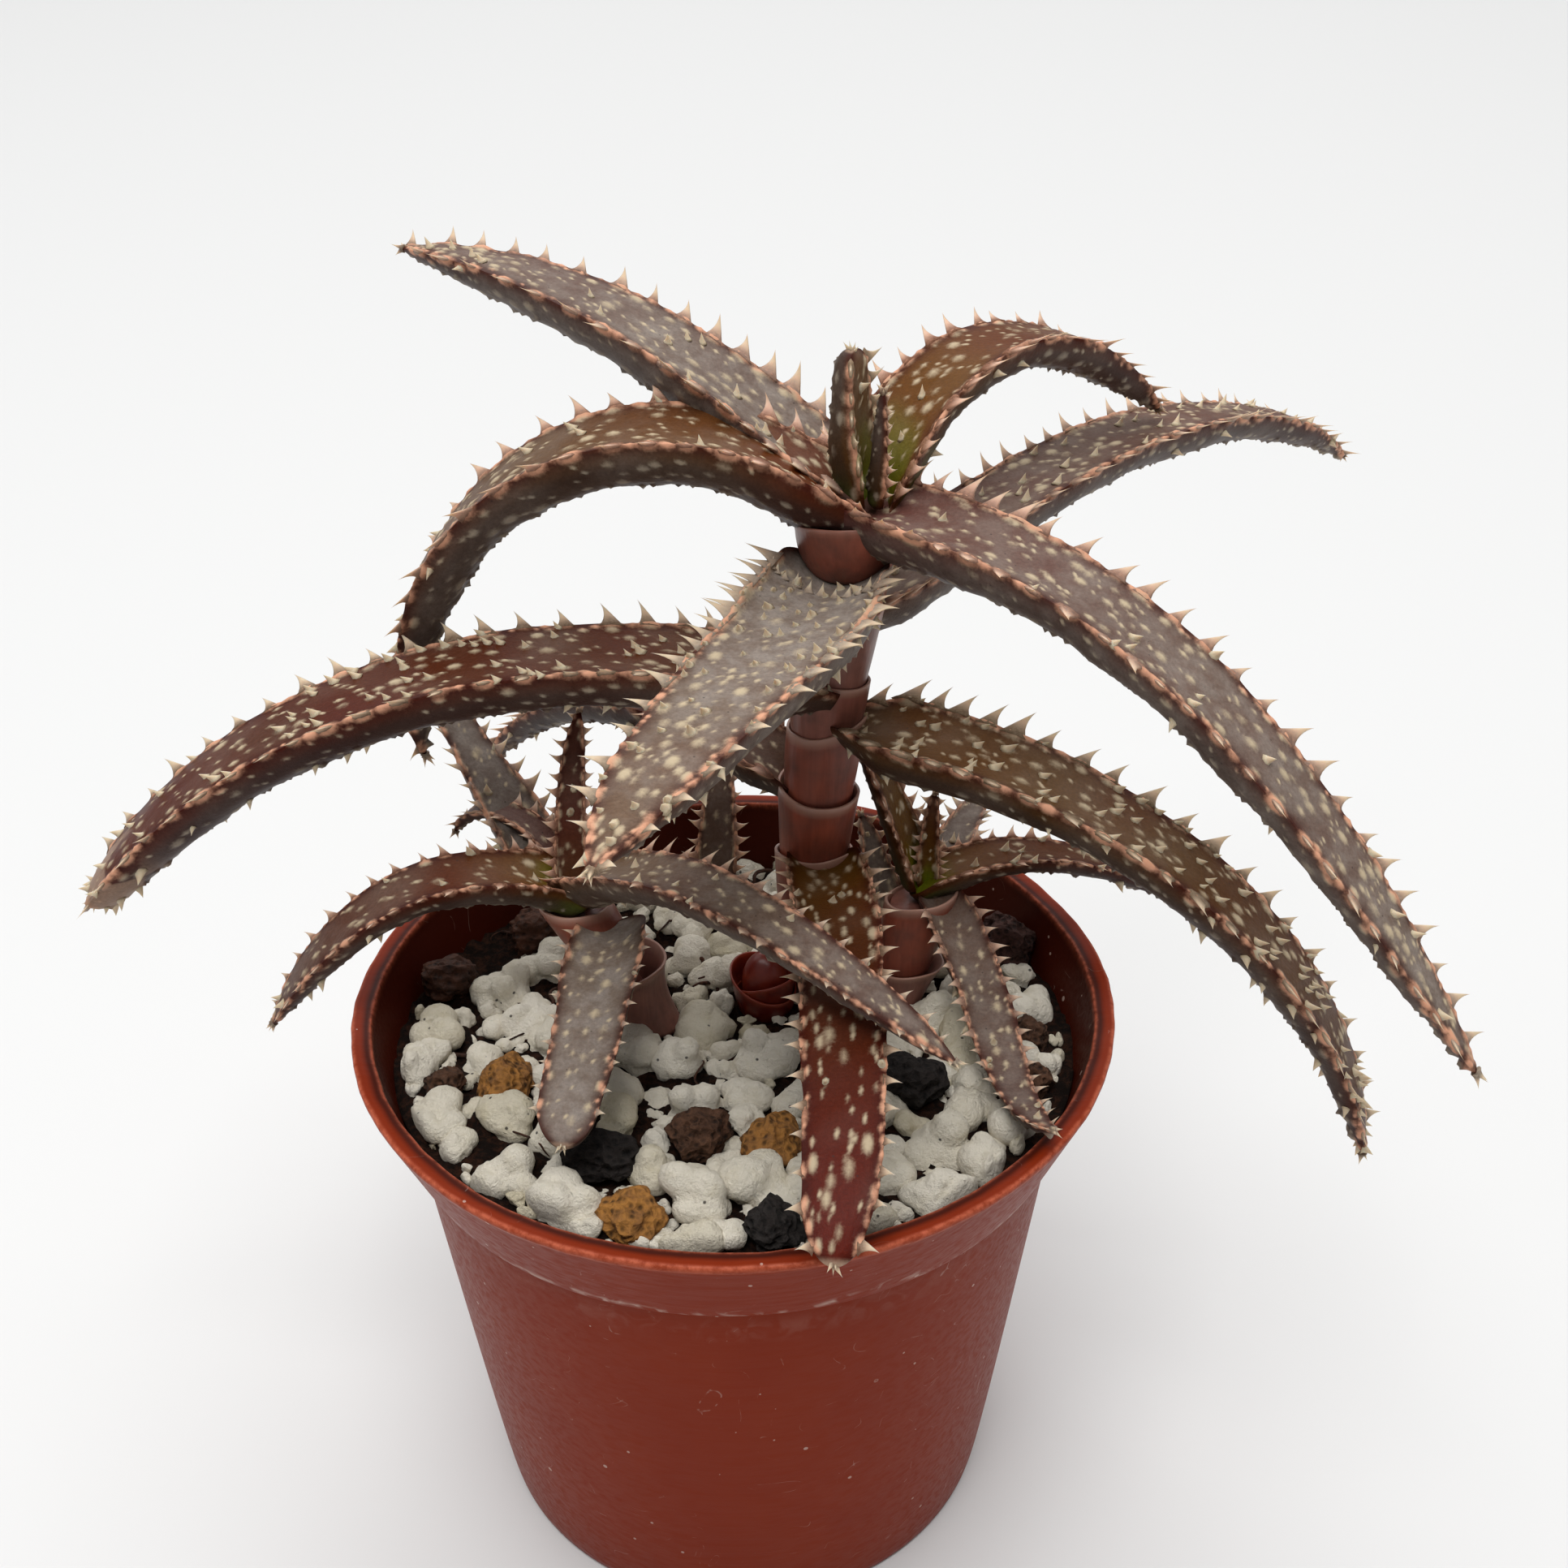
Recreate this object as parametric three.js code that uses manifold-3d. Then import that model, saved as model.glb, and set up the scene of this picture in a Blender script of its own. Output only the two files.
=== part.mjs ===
// A potted aloe hybrid: a spotted, spiny aloe on a short bare stem, with three offsets at its foot,
// in a small round nursery pot filled with gritty soil and topped with perlite, pumice and lava.
// Millimetres, +Z up. The origin is the centre of the pot's flat foot, and -Y is the front.
import * as THREE from 'three';
import { ParametricGeometry } from 'three/addons/geometries/ParametricGeometry.js';
import { mergeVertices } from 'three/addons/utils/BufferGeometryUtils.js';
import Module from 'manifold-3d';

const wasm = await Module();
wasm.setup();

// Driving dimensions of the pot
const POT_HEIGHT = 51;
const RIM_RADIUS = 32.5;
const RIM_LAND = 1.8;
const FOOT_RADIUS = 23.4;
const COLLAR_HEIGHT = 8.5;
const COLLAR_RADIUS = 29.3;
const COLLAR_STEP = 1;
const WALL = 1;
const FLOOR = 1.6;
const DRAIN_HOLES = 6;
const DRAIN_RADIUS = 2.4;
const DRAIN_CIRCLE = 15;
const POT_SIDES = 40;

// Driving dimensions of what fills the pot
const GAP = 0.3;
const SOIL_TOP = 45.6;
const SURFACE_SLOPE = -0.06;
const BED_THICKNESS = 1.4;
const GRAIN_COUNT = 47;
const GRAIN_FIELD = 27.8;
const GRAIN_RADIUS = [2.2, 3.3];
const INSIDE_SIDES = 30;

// Driving dimensions of the plant
const LEAF_THICKNESS = 0.53;
const THINNEST = 0.6;
const MARGIN_HEIGHT = 0.3;
const CHANNEL = 0.1;
const TAPER = 0.38;
const TIP_POWER = 6;
const BLUNT_TIP_POWER = 16;
const TIP_REACH = 1.2;
const TOOTH_LENGTH = 2.2;
const HOOK = 0.35;
const STEM_RADIUS = 2;
const SHEATH_WALL = 0.9;

// A blade's section, as angles round it: the margins lie at 0 and 180 degrees, the flat face above
const SECTION = [0, 60, 120, 180, 225, 270, 315].map((degrees) => THREE.MathUtils.degToRad(degrees));
const LEFT_MARGIN = 0;
const RIGHT_MARGIN = 3;
const MARGINS = [LEFT_MARGIN, RIGHT_MARGIN];
const PRICKLED = [1, 4, null, 1, 5, null];

const random = seededRandom(6703);

// Stems: the heights that each one passes, as points of its axis
const STEMS = {
  main: { points: [[7, 7, 36], [7, 7, 47], [7, 8.6, 59.5], [7.4, 8.6, 66], [8, 8.6, 72.6], [8.5, 8.6, 77.4],
    [9.2, 8.6, 82.6], [9.7, 8.6, 87], [10.3, 8.6, 90.4]], radius: STEM_RADIUS },
  left: { points: [[-6, 1, 38], [-7, 1.4, 46.7], [-10.5, 2.6, 52.5], [-13.6, 3.2, 58.2]], radius: 1.4 },
  right: { points: [[14, 5, 38], [14.2, 5.2, 46.5], [16.4, 7.3, 55.5]], radius: 1.4 },
  rear: { points: [[-3, 24, 38], [-2.7, 24, 45.5], [-2.4, 24, 47.4]], radius: 1.2 },
};

// Leaves, uppermost first. A leaf's midline leaves its base at the first heading and pitch, in
// degrees, and turns smoothly through the second to the third. Heading 0 is +X and 90 is +Y.
// A sheath is the tube that the leaf's foot makes round its stem: two heights and the lip's flare.
const LEAVES = [
  { name: 'heart_leaf_tall', stem: 'main', base: [10.4, 9.2, 93.4], heading: [180, 180, 180], pitch: [84, 87, 90],
    length: 11.5, width: 3.6, rings: 5, bloom: 0.1 },
  { name: 'heart_leaf_small', stem: 'main', base: [12, 7.6, 93.4], heading: [180, 180, 180], pitch: [94, 92, 88],
    length: 9, width: 2.6, rings: 4, bloom: 0.1 },
  { name: 'leaf_upper_right', stem: 'main', base: [11.6, 10.4, 91.2], heading: [48, 43, 39],
    pitch: [72, -34, -41], length: 45, width: 7.8, rings: 12, bloom: 0.2 },
  { name: 'leaf_left_arch', stem: 'main', base: [10.5, 8.4, 90.6], heading: [178, 177, 174],
    pitch: [52, -41, -101], length: 59, width: 10, rings: 14, bloom: 0.5 },
  { name: 'leaf_upper_left', stem: 'main', base: [10.5, 10.9, 91.4], heading: [156, 154, 152],
    pitch: [39, 23, -1], length: 46, width: 9.4, rings: 12, bloom: 0.9 },
  { name: 'leaf_big_right', stem: 'main', base: [10.6, 7.6, 91.6], heading: [-33, -35, -32],
    pitch: [10, -51, -50], length: 66, width: 8.8, rings: 14, bloom: 0.8, sheath: [87.3, 90.2, 1.5] },
  { name: 'leaf_front', stem: 'main', base: [8.6, 5.8, 86.3], heading: [-110, -120, -112],
    pitch: [0, 4, -11], length: 41, width: 10.8, rings: 12, bloom: 0.6, sheath: [83, 87, 0.4] },
  { name: 'leaf_back_right', stem: 'main', base: [9.8, 9.7, 81.8], heading: [41, 44, 42],
    pitch: [19, 3, -36], length: 76, width: 8.6, rings: 14, bloom: 0.3, sheath: [77.4, 82.7, 0.4] },
  { name: 'leaf_long_left', stem: 'main', base: [8.2, 7, 76.2], heading: [-172, -172, -171],
    pitch: [24, -11, -52], length: 68, width: 9.6, rings: 14, bloom: 0, sheath: [72.8, 77.1, 0.4] },
  { name: 'leaf_right', stem: 'main', base: [9.1, 7.4, 72.8], heading: [-27, -22, -19],
    pitch: [6, -26, -79], length: 62, width: 9, rings: 13, bloom: 0.2, sheath: [66.3, 72.5, 0.5] },
  { name: 'leaf_back_left', stem: 'main', base: [5.5, 9.6, 66], heading: [139, 139, 141],
    pitch: [22, -21, -54], length: 46, width: 7.2, rings: 10, bloom: 0.2, sheath: [59.8, 66, 0.5] },
  { name: 'leaf_over_rim', stem: 'main', base: [7.8, 5.6, 59.6], heading: [-84, -90, -97],
    pitch: [14, -10, -30], length: 42, width: 6.8, rings: 10, bloom: 0, blunt: true, sheath: [51, 59.5, 0.3] },
  { name: 'left_pup_heart_leaf', stem: 'left', base: [-13.7, 3.6, 60.2], heading: [87, 81, 78],
    pitch: [80, 66, 50], length: 15, width: 3, rings: 6, bloom: 0.1 },
  { name: 'left_pup_leaf_left', stem: 'left', base: [-14, 2.6, 59.4], heading: [-166, -163, -163],
    pitch: [43, -36, -58], length: 31, width: 5.6, rings: 9, bloom: 0.1 },
  { name: 'left_pup_leaf_right', stem: 'left', base: [-13.2, 2.8, 59.8], heading: [-45, -41, -31],
    pitch: [48, -19, -24], length: 42, width: 6, rings: 11, bloom: 0.7 },
  { name: 'left_pup_leaf_back', stem: 'left', base: [-15, 4.1, 58.6], heading: [129, 129, 129],
    pitch: [35, 35, 26], length: 23, width: 5.6, rings: 7, bloom: 0.9 },
  { name: 'left_pup_leaf_small', stem: 'left', base: [-14.3, 6, 58.2], heading: [152, 153, 154],
    pitch: [78, 21, -71], length: 16, width: 3.2, rings: 6, bloom: 0.3 },
  { name: 'left_pup_leaf_front', stem: 'left', base: [-10.2, 0.8, 56.5], heading: [-95, -97, -97],
    pitch: [-1, -8, -18], length: 23, width: 5.6, rings: 7, bloom: 0.9, blunt: true, sheath: [52.6, 56.8, 1.2] },
  { name: 'right_pup_heart_leaf', stem: 'right', base: [17, 7.8, 56.7], heading: [84, 78, 72],
    pitch: [80, 70, 56], length: 8.5, width: 2.1, rings: 4, bloom: 0.1 },
  { name: 'right_pup_leaf_left', stem: 'right', base: [16, 8.4, 57], heading: [151, 151, 150],
    pitch: [76, 63, 56], length: 14, width: 4.4, rings: 5, bloom: 0.1 },
  { name: 'right_pup_leaf_right', stem: 'right', base: [16.7, 7.8, 56.6], heading: [10, 9, 9],
    pitch: [30, -16, -42], length: 24, width: 4.8, rings: 7, bloom: 0.1 },
  { name: 'right_pup_leaf_back', stem: 'right', base: [17.6, 9.2, 56.2], heading: [61, 62, 61],
    pitch: [18, 16, 12], length: 13, width: 3.8, rings: 5, bloom: 0.9 },
  { name: 'right_pup_leaf_small', stem: 'right', base: [13.8, 8.8, 53.5], heading: [126, 125, 123],
    pitch: [60, 60, 60], length: 9, width: 3, rings: 4, bloom: 0.7 },
  { name: 'right_pup_leaf_front', stem: 'right', base: [17.8, 6.4, 55.9], heading: [-58, -102, -66],
    pitch: [-22, -22, 32], length: 30, width: 4.8, rings: 9, bloom: 0.5, sheath: [50, 54.8, 0.6] },
  { name: 'rear_pup_leaf', stem: 'rear', base: [-2.1, 24, 46.7], heading: [86, 81, 78],
    pitch: [80, 60, 40], length: 13, width: 4.2, rings: 6, bloom: 0.6 },
];

// Sheaths left on a stem by leaves that are gone: heights, the lip's flare and the colour
const OLD_SHEATHS = [
  { name: 'left_pup_foot_sheath', stem: 'left', from: 47.8, to: 52.2, flare: 1.1, colour: 0x6b4650 },
  { name: 'right_pup_foot_sheath', stem: 'right', from: 46.8, to: 49.6, flare: 0.7, colour: 0x4a2c33 },
];

// Stones that lie among the perlite: where, half their breadth, and what they are
const STONES = [
  { name: 'pumice_left', at: [-19, -8], radius: 2.6, kind: 'pumice' },
  { name: 'pumice_middle', at: [3.4, -16.4], radius: 2.9, kind: 'pumice' },
  { name: 'pumice_front', at: [-7.5, -24.8], radius: 2.7, kind: 'pumice' },
  { name: 'lava_brown_left', at: [-24, -8], radius: 2, kind: 'brownLava' },
  { name: 'lava_brown_middle', at: [-2.6, -15.4], radius: 2.8, kind: 'brownLava' },
  { name: 'lava_brown_right', at: [25, -8.2], radius: 2.1, kind: 'brownLava' },
  { name: 'lava_brown_far_right', at: [25.6, -1.4], radius: 2, kind: 'brownLava' },
  { name: 'lava_black_front', at: [3.4, -26], radius: 2.8, kind: 'blackLava' },
  { name: 'lava_black_left', at: [-10.2, -18], radius: 3.2, kind: 'blackLava' },
  { name: 'lava_black_right', at: [14.6, -8.6], radius: 3.1, kind: 'blackLava' },
  { name: 'lava_red_back', at: [25, 12.2], radius: 3.3, kind: 'redLava' },
  { name: 'bark_left', at: [-26, 7], radius: 2.5, kind: 'bark' },
  { name: 'bark_back', at: [-18.8, 15], radius: 3, kind: 'bark' },
];

const COLOURS = {
  terracotta: 0x9c3c22,
  soil: 0x2a1a14,
  perlite: 0xe6e3da,
  pumice: 0xa8743a,
  brownLava: 0x5a3a2a,
  blackLava: 0x2b2a2e,
  redLava: 0x4a2826,
  bark: 0x3a2118,
  stem: 0x7a4a3c,
  darkLeaf: 0x55382c,
  bloomedLeaf: 0x80727a,
  redShoot: 0x7c1f1c,
};

// A repeatable stream of numbers from 0 to 1
function seededRandom(seed) {
  let state = seed;
  return () => {
    state = (state + 0x6d2b79f5) | 0;
    let mixed = Math.imul(state ^ (state >>> 15), 1 | state);
    mixed = (mixed + Math.imul(mixed ^ (mixed >>> 7), 61 | mixed)) ^ mixed;
    return ((mixed ^ (mixed >>> 14)) >>> 0) / 4294967296;
  };
}

function between(low, high) {
  return low + (high - low) * random();
}

// A closed solid from a geometry, with its seams and poles merged and its faces pointing out
function solidFrom(geometry) {
  const bare = geometry.clone();
  bare.deleteAttribute('normal');
  bare.deleteAttribute('uv');
  const merged = mergeVertices(bare, 1e-4);
  const corners = [];
  for (let i = 0; i < merged.index.count; i += 3) {
    const [a, b, c] = [0, 1, 2].map((k) => merged.index.getX(i + k));
    if (a !== b && b !== c && c !== a) corners.push(a, b, c);
  }
  const vertProperties = new Float32Array(merged.attributes.position.array);
  const build = (indices) => new wasm.Manifold(
    new wasm.Mesh({ numProp: 3, vertProperties, triVerts: new Uint32Array(indices) }));
  const solid = build(corners);
  return solid.volume() > 0 ? solid : build(corners.reverse());
}

function geometryFrom(solid) {
  const mesh = solid.getMesh();
  const geometry = new THREE.BufferGeometry();
  geometry.setAttribute('position', new THREE.BufferAttribute(new Float32Array(mesh.vertProperties), 3));
  geometry.setIndex(new THREE.BufferAttribute(new Uint32Array(mesh.triVerts), 1));
  geometry.computeVertexNormals();
  return geometry;
}

// The biggest piece of a solid, without the scraps that a cut leaves loose
function mainPiece(solid) {
  const pieces = solid.decompose();
  return pieces.reduce((best, piece) => (piece.volume() > best.volume() ? piece : best));
}

function cutBy(solid, cutters) {
  return cutters.reduce((rest, cutter) => rest.subtract(cutter), solid);
}

function meshOf(name, solid, colour, roughness) {
  const material = new THREE.MeshStandardMaterial({ color: colour, roughness, metalness: 0 });
  const mesh = new THREE.Mesh(geometryFrom(solid), material);
  mesh.name = name;
  return mesh;
}

// A body turned round the Z axis from [radius, height] points
function turned(profile, segments) {
  const points = profile.map(([radius, height]) => new THREE.Vector2(radius, height));
  return solidFrom(new THREE.LatheGeometry(points, segments).rotateX(Math.PI / 2));
}

// The point of a stem's axis at a height, straight between its stated points
function stemAt(stem, height) {
  const { points } = STEMS[stem];
  let upper = points.findIndex((point) => point[2] >= height);
  if (upper < 0) upper = points.length - 1;
  upper = Math.max(upper, 1);
  const low = points[upper - 1];
  const high = points[upper];
  const share = (height - low[2]) / (high[2] - low[2]);
  return new THREE.Vector2(low[0] + (high[0] - low[0]) * share, low[1] + (high[1] - low[1]) * share);
}

// A body of level rings round a stem's axis. Its profile is [radius, height] points, and either
// starts and ends on the axis or, for a tube, comes back to its first point.
function roundStem(stem, profile, sides) {
  const place = (u, v, target) => {
    const angle = 2 * Math.PI * (u % 1);
    const [radius, height] = profile[Math.round(v * (profile.length - 1))];
    const centre = stemAt(stem, height);
    target.set(centre.x + radius * Math.cos(angle), centre.y + radius * Math.sin(angle), height);
  };
  return solidFrom(new ParametricGeometry(place, sides, profile.length - 1));
}

function stemCore(stem, grow = 0) {
  const { points, radius } = STEMS[stem];
  const heights = points.map((point) => point[2]);
  heights[0] -= grow;
  heights[heights.length - 1] += grow;
  const wall = heights.map((height) => [radius + grow, height]);
  return roundStem(stem, [[0, heights[0]], ...wall, [0, heights.at(-1)]], 8);
}

function sheathTube(stem, from, to, flare, grow = 0) {
  const inner = Math.max(STEMS[stem].radius + GAP - grow, 0.2);
  const outer = inner + SHEATH_WALL + 2 * grow;
  const low = from - grow;
  const high = to + grow;
  const profile = [[outer, low], [outer + flare, high], [inner, high], [inner, low], [outer, low]];
  return roundStem(stem, profile, 9);
}

// The pot: a thin tapered shell with a taller collar, a flat foot and drain holes
function makePot() {
  const bodyTop = POT_HEIGHT - COLLAR_HEIGHT;
  const bodyRadius = COLLAR_RADIUS - COLLAR_STEP;
  const chamfer = 0.6;
  const profile = [
    [0, 0],
    [FOOT_RADIUS - chamfer, 0],
    [FOOT_RADIUS, chamfer],
    [bodyRadius, bodyTop - 0.4],
    [COLLAR_RADIUS, bodyTop],
    [RIM_RADIUS, POT_HEIGHT - chamfer],
    [RIM_RADIUS - 0.3, POT_HEIGHT - 0.1],
    [RIM_RADIUS - 0.7, POT_HEIGHT],
    [RIM_RADIUS - RIM_LAND + 0.2, POT_HEIGHT],
    [RIM_RADIUS - RIM_LAND, POT_HEIGHT - chamfer],
    [COLLAR_RADIUS - WALL, bodyTop + 0.8],
    [bodyRadius - WALL, bodyTop - 1],
    [FOOT_RADIUS - WALL, FLOOR],
    [0, FLOOR],
  ];
  const holes = [];
  for (let i = 0; i < DRAIN_HOLES; i += 1) {
    const angle = (2 * Math.PI * i) / DRAIN_HOLES;
    const drill = new THREE.CylinderGeometry(DRAIN_RADIUS, DRAIN_RADIUS, 4 * FLOOR, 8).rotateX(Math.PI / 2);
    drill.translate(DRAIN_CIRCLE * Math.cos(angle), DRAIN_CIRCLE * Math.sin(angle), 0);
    holes.push(solidFrom(drill));
  }
  return cutBy(turned(profile, POT_SIDES), holes);
}

// All that the pot can hold: its inside, kept clear of the wall and of the floor
function makeInside() {
  const bend = POT_HEIGHT - COLLAR_HEIGHT - 1;
  const bodyInner = COLLAR_RADIUS - COLLAR_STEP - WALL - GAP;
  return turned([
    [0, FLOOR + GAP],
    [FOOT_RADIUS - WALL - GAP, FLOOR + GAP],
    [bodyInner, bend],
    [COLLAR_RADIUS - WALL - GAP, bend + 1.8],
    [RIM_RADIUS - RIM_LAND - GAP, POT_HEIGHT - 0.6],
    [0, POT_HEIGHT - 0.6],
  ], INSIDE_SIDES);
}

// The height of a level inside the pot that slopes down to the back as the soil does
function slopedHeight(height, y) {
  return height + SURFACE_SLOPE * y;
}

// A wide slab between two sloping levels
function slopedSlab(low, high) {
  const shape = new THREE.BoxGeometry(80, 80, high - low).translate(0, 0, (high + low) / 2);
  const corner = new THREE.Vector3();
  for (let i = 0; i < shape.attributes.position.count; i += 1) {
    corner.fromBufferAttribute(shape.attributes.position, i);
    shape.attributes.position.setZ(i, slopedHeight(corner.z, corner.y));
  }
  return solidFrom(shape);
}

function makeSoil(stemCutters) {
  return cutBy(makeInside().intersect(slopedSlab(-10, SOIL_TOP)), stemCutters);
}

// A rough lump: an icosahedron with each corner pushed in or out at random
function lump(centre, radii, roughness) {
  const shape = new THREE.IcosahedronGeometry(1, 0);
  shape.deleteAttribute('normal');
  shape.deleteAttribute('uv');
  const merged = mergeVertices(shape, 1e-4);
  const corner = new THREE.Vector3();
  for (let i = 0; i < merged.attributes.position.count; i += 1) {
    corner.fromBufferAttribute(merged.attributes.position, i).multiplyScalar(between(1 - roughness, 1));
    merged.attributes.position.setXYZ(i, corner.x * radii[0], corner.y * radii[1], corner.z * radii[2]);
  }
  merged.rotateZ(between(0, 2 * Math.PI)).translate(...centre);
  return solidFrom(merged);
}

function makeStone(stone, grow = 0) {
  const { radius, at } = stone;
  const seat = SOIL_TOP + GAP;
  const shape = new THREE.DodecahedronGeometry(radius + grow, 0);
  shape.scale(1, 0.86, 0.8);
  shape.rotateZ(at[0] + at[1]);
  shape.rotateX(0.4);
  shape.translate(at[0], at[1], slopedHeight(seat, at[1]) + 0.55 * radius);
  return solidFrom(shape).subtract(slopedSlab(-10, seat - grow));
}

// The perlite: a thin bed with the grains standing out of it, laid on a sunflower spiral
function makePerlite(cutters) {
  const low = SOIL_TOP + GAP;
  const high = low + BED_THICKNESS;
  const inside = makeInside();
  const grains = [inside.intersect(slopedSlab(low, high))];
  const goldenAngle = Math.PI * (3 - Math.sqrt(5));
  for (let i = 0; i < GRAIN_COUNT; i += 1) {
    const reach = GRAIN_FIELD * Math.sqrt((i + 0.5) / GRAIN_COUNT) + between(-0.5, 0.5);
    const angle = i * goldenAngle + between(-0.06, 0.06);
    const radius = between(...GRAIN_RADIUS);
    const [x, y] = [reach * Math.cos(angle), reach * Math.sin(angle)];
    const centre = [x, y, slopedHeight(high, y) + between(0.1, 1)];
    const grain = lump(centre, [radius, radius * between(0.75, 1), radius * between(0.7, 0.9)], 0.2);
    const buried = STONES.some(({ at, radius: stone }) => Math.hypot(at[0] - x, at[1] - y) < stone + 0.5);
    if (!buried) grains.push(grain);
  }
  const heap = wasm.Manifold.union(grains).intersect(inside);
  return mainPiece(cutBy(heap, [slopedSlab(-10, low), ...cutters]));
}

function blend(values, t) {
  return (1 - t) ** 2 * values[0] + 2 * t * (1 - t) * values[1] + t * t * values[2];
}

// A leaf's midline, walked in short equal steps along its heading and pitch
function midline(leaf, steps = 60) {
  const stations = [];
  const at = new THREE.Vector3(...leaf.base);
  for (let i = 0; i <= steps; i += 1) {
    const t = i / steps;
    const heading = THREE.MathUtils.degToRad(blend(leaf.heading, t));
    const pitch = THREE.MathUtils.degToRad(blend(leaf.pitch, t));
    const level = new THREE.Vector3(Math.cos(heading), Math.sin(heading), 0);
    const along = level.multiplyScalar(Math.cos(pitch)).setZ(Math.sin(pitch));
    const side = new THREE.Vector3(-Math.sin(heading), Math.cos(heading), 0);
    const up = new THREE.Vector3().crossVectors(along, side);
    stations.push({ at: at.clone(), along, side, up });
    at.addScaledVector(along, leaf.length / steps);
  }
  return stations;
}

function stationAt(line, t) {
  return line[Math.round(THREE.MathUtils.clamp(t, 0, 1) * (line.length - 1))];
}

// A leaf's width at a share of its length: a steady taper that closes to a point or a blunt end
function bladeWidth(leaf, t) {
  const closing = leaf.blunt ? (1 - t ** BLUNT_TIP_POWER) ** 0.5 : (1 - t ** TIP_POWER) ** 0.8;
  const clasp = 0.85 + 0.15 * THREE.MathUtils.smoothstep(t * leaf.length, 0, 0.6 * leaf.width);
  return leaf.width * (1 - TAPER * t) * closing * clasp;
}

// A point of the blade's skin: flat and slightly channelled above, round below
function bladePoint(leaf, line, t, angle, grow = 0) {
  const { at, side, up } = stationAt(line, t);
  const width = bladeWidth(leaf, t);
  const thickness = Math.max(width * LEAF_THICKNESS, THINNEST);
  const rise = Math.sin(angle);
  const height = rise > 0 ? -CHANNEL * thickness * rise * rise : thickness * rise;
  return at.clone()
    .addScaledVector(side, Math.cos(angle) * (width / 2 + grow))
    .addScaledVector(up, MARGIN_HEIGHT * thickness + height + grow * rise);
}

// A closed skin, kept as its points and the triangles between them
class Skin {
  constructor() {
    this.points = [];
    this.corners = [];
  }

  point(place) {
    this.points.push(place);
    return this.points.length - 1;
  }

  // A ring of triangles from one middle point to each pair of neighbours in a loop
  fan(middle, loop) {
    loop.forEach((corner, i) => this.corners.push(middle, corner, loop[(i + 1) % loop.length]));
  }

  patch([a, b, c, d]) {
    this.corners.push(a, b, d, b, c, d);
  }

  between(first, second, share) {
    return this.points[first].clone().lerp(this.points[second], share);
  }

  solid() {
    const geometry = new THREE.BufferGeometry().setFromPoints(this.points);
    geometry.setIndex(this.corners);
    return solidFrom(geometry);
  }
}

// A bare blade from rings of points along its midline, as its neighbours are cut back from
function bareBlade(leaf, line, grow) {
  const skin = new Skin();
  const rings = bladeRings(skin, leaf, line, grow);
  for (let i = 0; i < rings.length - 1; i += 1) {
    SECTION.forEach((_, j) => skin.patch(patchOf(rings, i, j)));
  }
  return skin.solid();
}

// The rings of a blade's skin, closed by one point at its foot and one at its tip
function bladeRings(skin, leaf, line, grow = 0) {
  const rings = [];
  const last = 1 - TIP_REACH / leaf.length;
  for (let i = 0; i <= leaf.rings; i += 1) {
    const t = (last * i) / leaf.rings;
    rings.push(SECTION.map((angle) => skin.point(bladePoint(leaf, line, t, angle, grow))));
  }
  const foot = skin.point(line[0].at.clone().addScaledVector(line[0].along, -grow));
  const tip = skin.point(line.at(-1).at.clone().addScaledVector(line.at(-1).along, grow));
  skin.fan(foot, [...rings[0]].reverse());
  skin.fan(tip, rings.at(-1));
  return rings;
}

function patchOf(rings, i, j) {
  const next = (j + 1) % SECTION.length;
  return [rings[i][j], rings[i][next], rings[i + 1][next], rings[i + 1][j]];
}

// A hooked tooth on the margin between two rings. Its root is a slim diamond: two points on the
// margin, and one on each face beside it.
function marginTooth(skin, leaf, line, rings, i, column) {
  const start = rings[i][column];
  const end = rings[i + 1][column];
  const run = skin.points[start].distanceTo(skin.points[end]);
  const t = ((i + 0.5) / leaf.rings) * (1 - TIP_REACH / leaf.length);
  const { along, side, up } = stationAt(line, t);
  const outward = side.clone().multiplyScalar(column === LEFT_MARGIN ? 1 : -1).addScaledVector(up, 0.15);
  const length = toothLength(leaf) * (1.08 - 0.35 * t) * between(0.85, 1.15);
  const half = Math.min(0.45, (0.42 * length) / run);
  const middle = 0.5 + between(-0.04, 0.04);
  const rear = skin.point(skin.between(start, end, middle - half));
  const front = skin.point(skin.between(start, end, Math.min(middle + half, 0.96)));
  const tip = skin.between(start, end, middle);
  tip.addScaledVector(outward.normalize(), length).addScaledVector(along, HOOK * length);
  return { rear, front, tip: skin.point(tip), middle };
}

// A face beside the margin, sewn round a tooth's root
function toothedPatch(skin, rings, i, j, tooth, marginFirst) {
  const [a, b, c, d] = patchOf(rings, i, j);
  const shareIn = 0.2;
  const [near, far] = marginFirst ? [[a, d], [b, c]] : [[b, c], [a, d]];
  const edge = skin.between(near[0], near[1], tooth.middle);
  const root = skin.point(edge.lerp(skin.between(far[0], far[1], tooth.middle), shareIn));
  const loop = marginFirst
    ? [a, b, c, d, tooth.front, tooth.tip, tooth.rear]
    : [a, b, tooth.rear, tooth.tip, tooth.front, c, d];
  skin.fan(root, loop);
}

// A face with one prickle standing in its middle
function prickledPatch(skin, corners, along, outward, length) {
  const middle = skin.between(corners[0], corners[2], 0.5);
  const shrink = 0.45 * length;
  const roots = corners.map((corner) => {
    const away = skin.points[corner].clone().sub(middle);
    return skin.point(middle.clone().addScaledVector(away, Math.min(0.5, shrink / away.length())));
  });
  const tip = skin.point(middle.clone().addScaledVector(outward, length).addScaledVector(along, HOOK * length));
  corners.forEach((corner, k) => {
    const next = (k + 1) % 4;
    skin.patch([corner, corners[next], roots[next], roots[k]]);
  });
  skin.fan(tip, roots);
}

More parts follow.
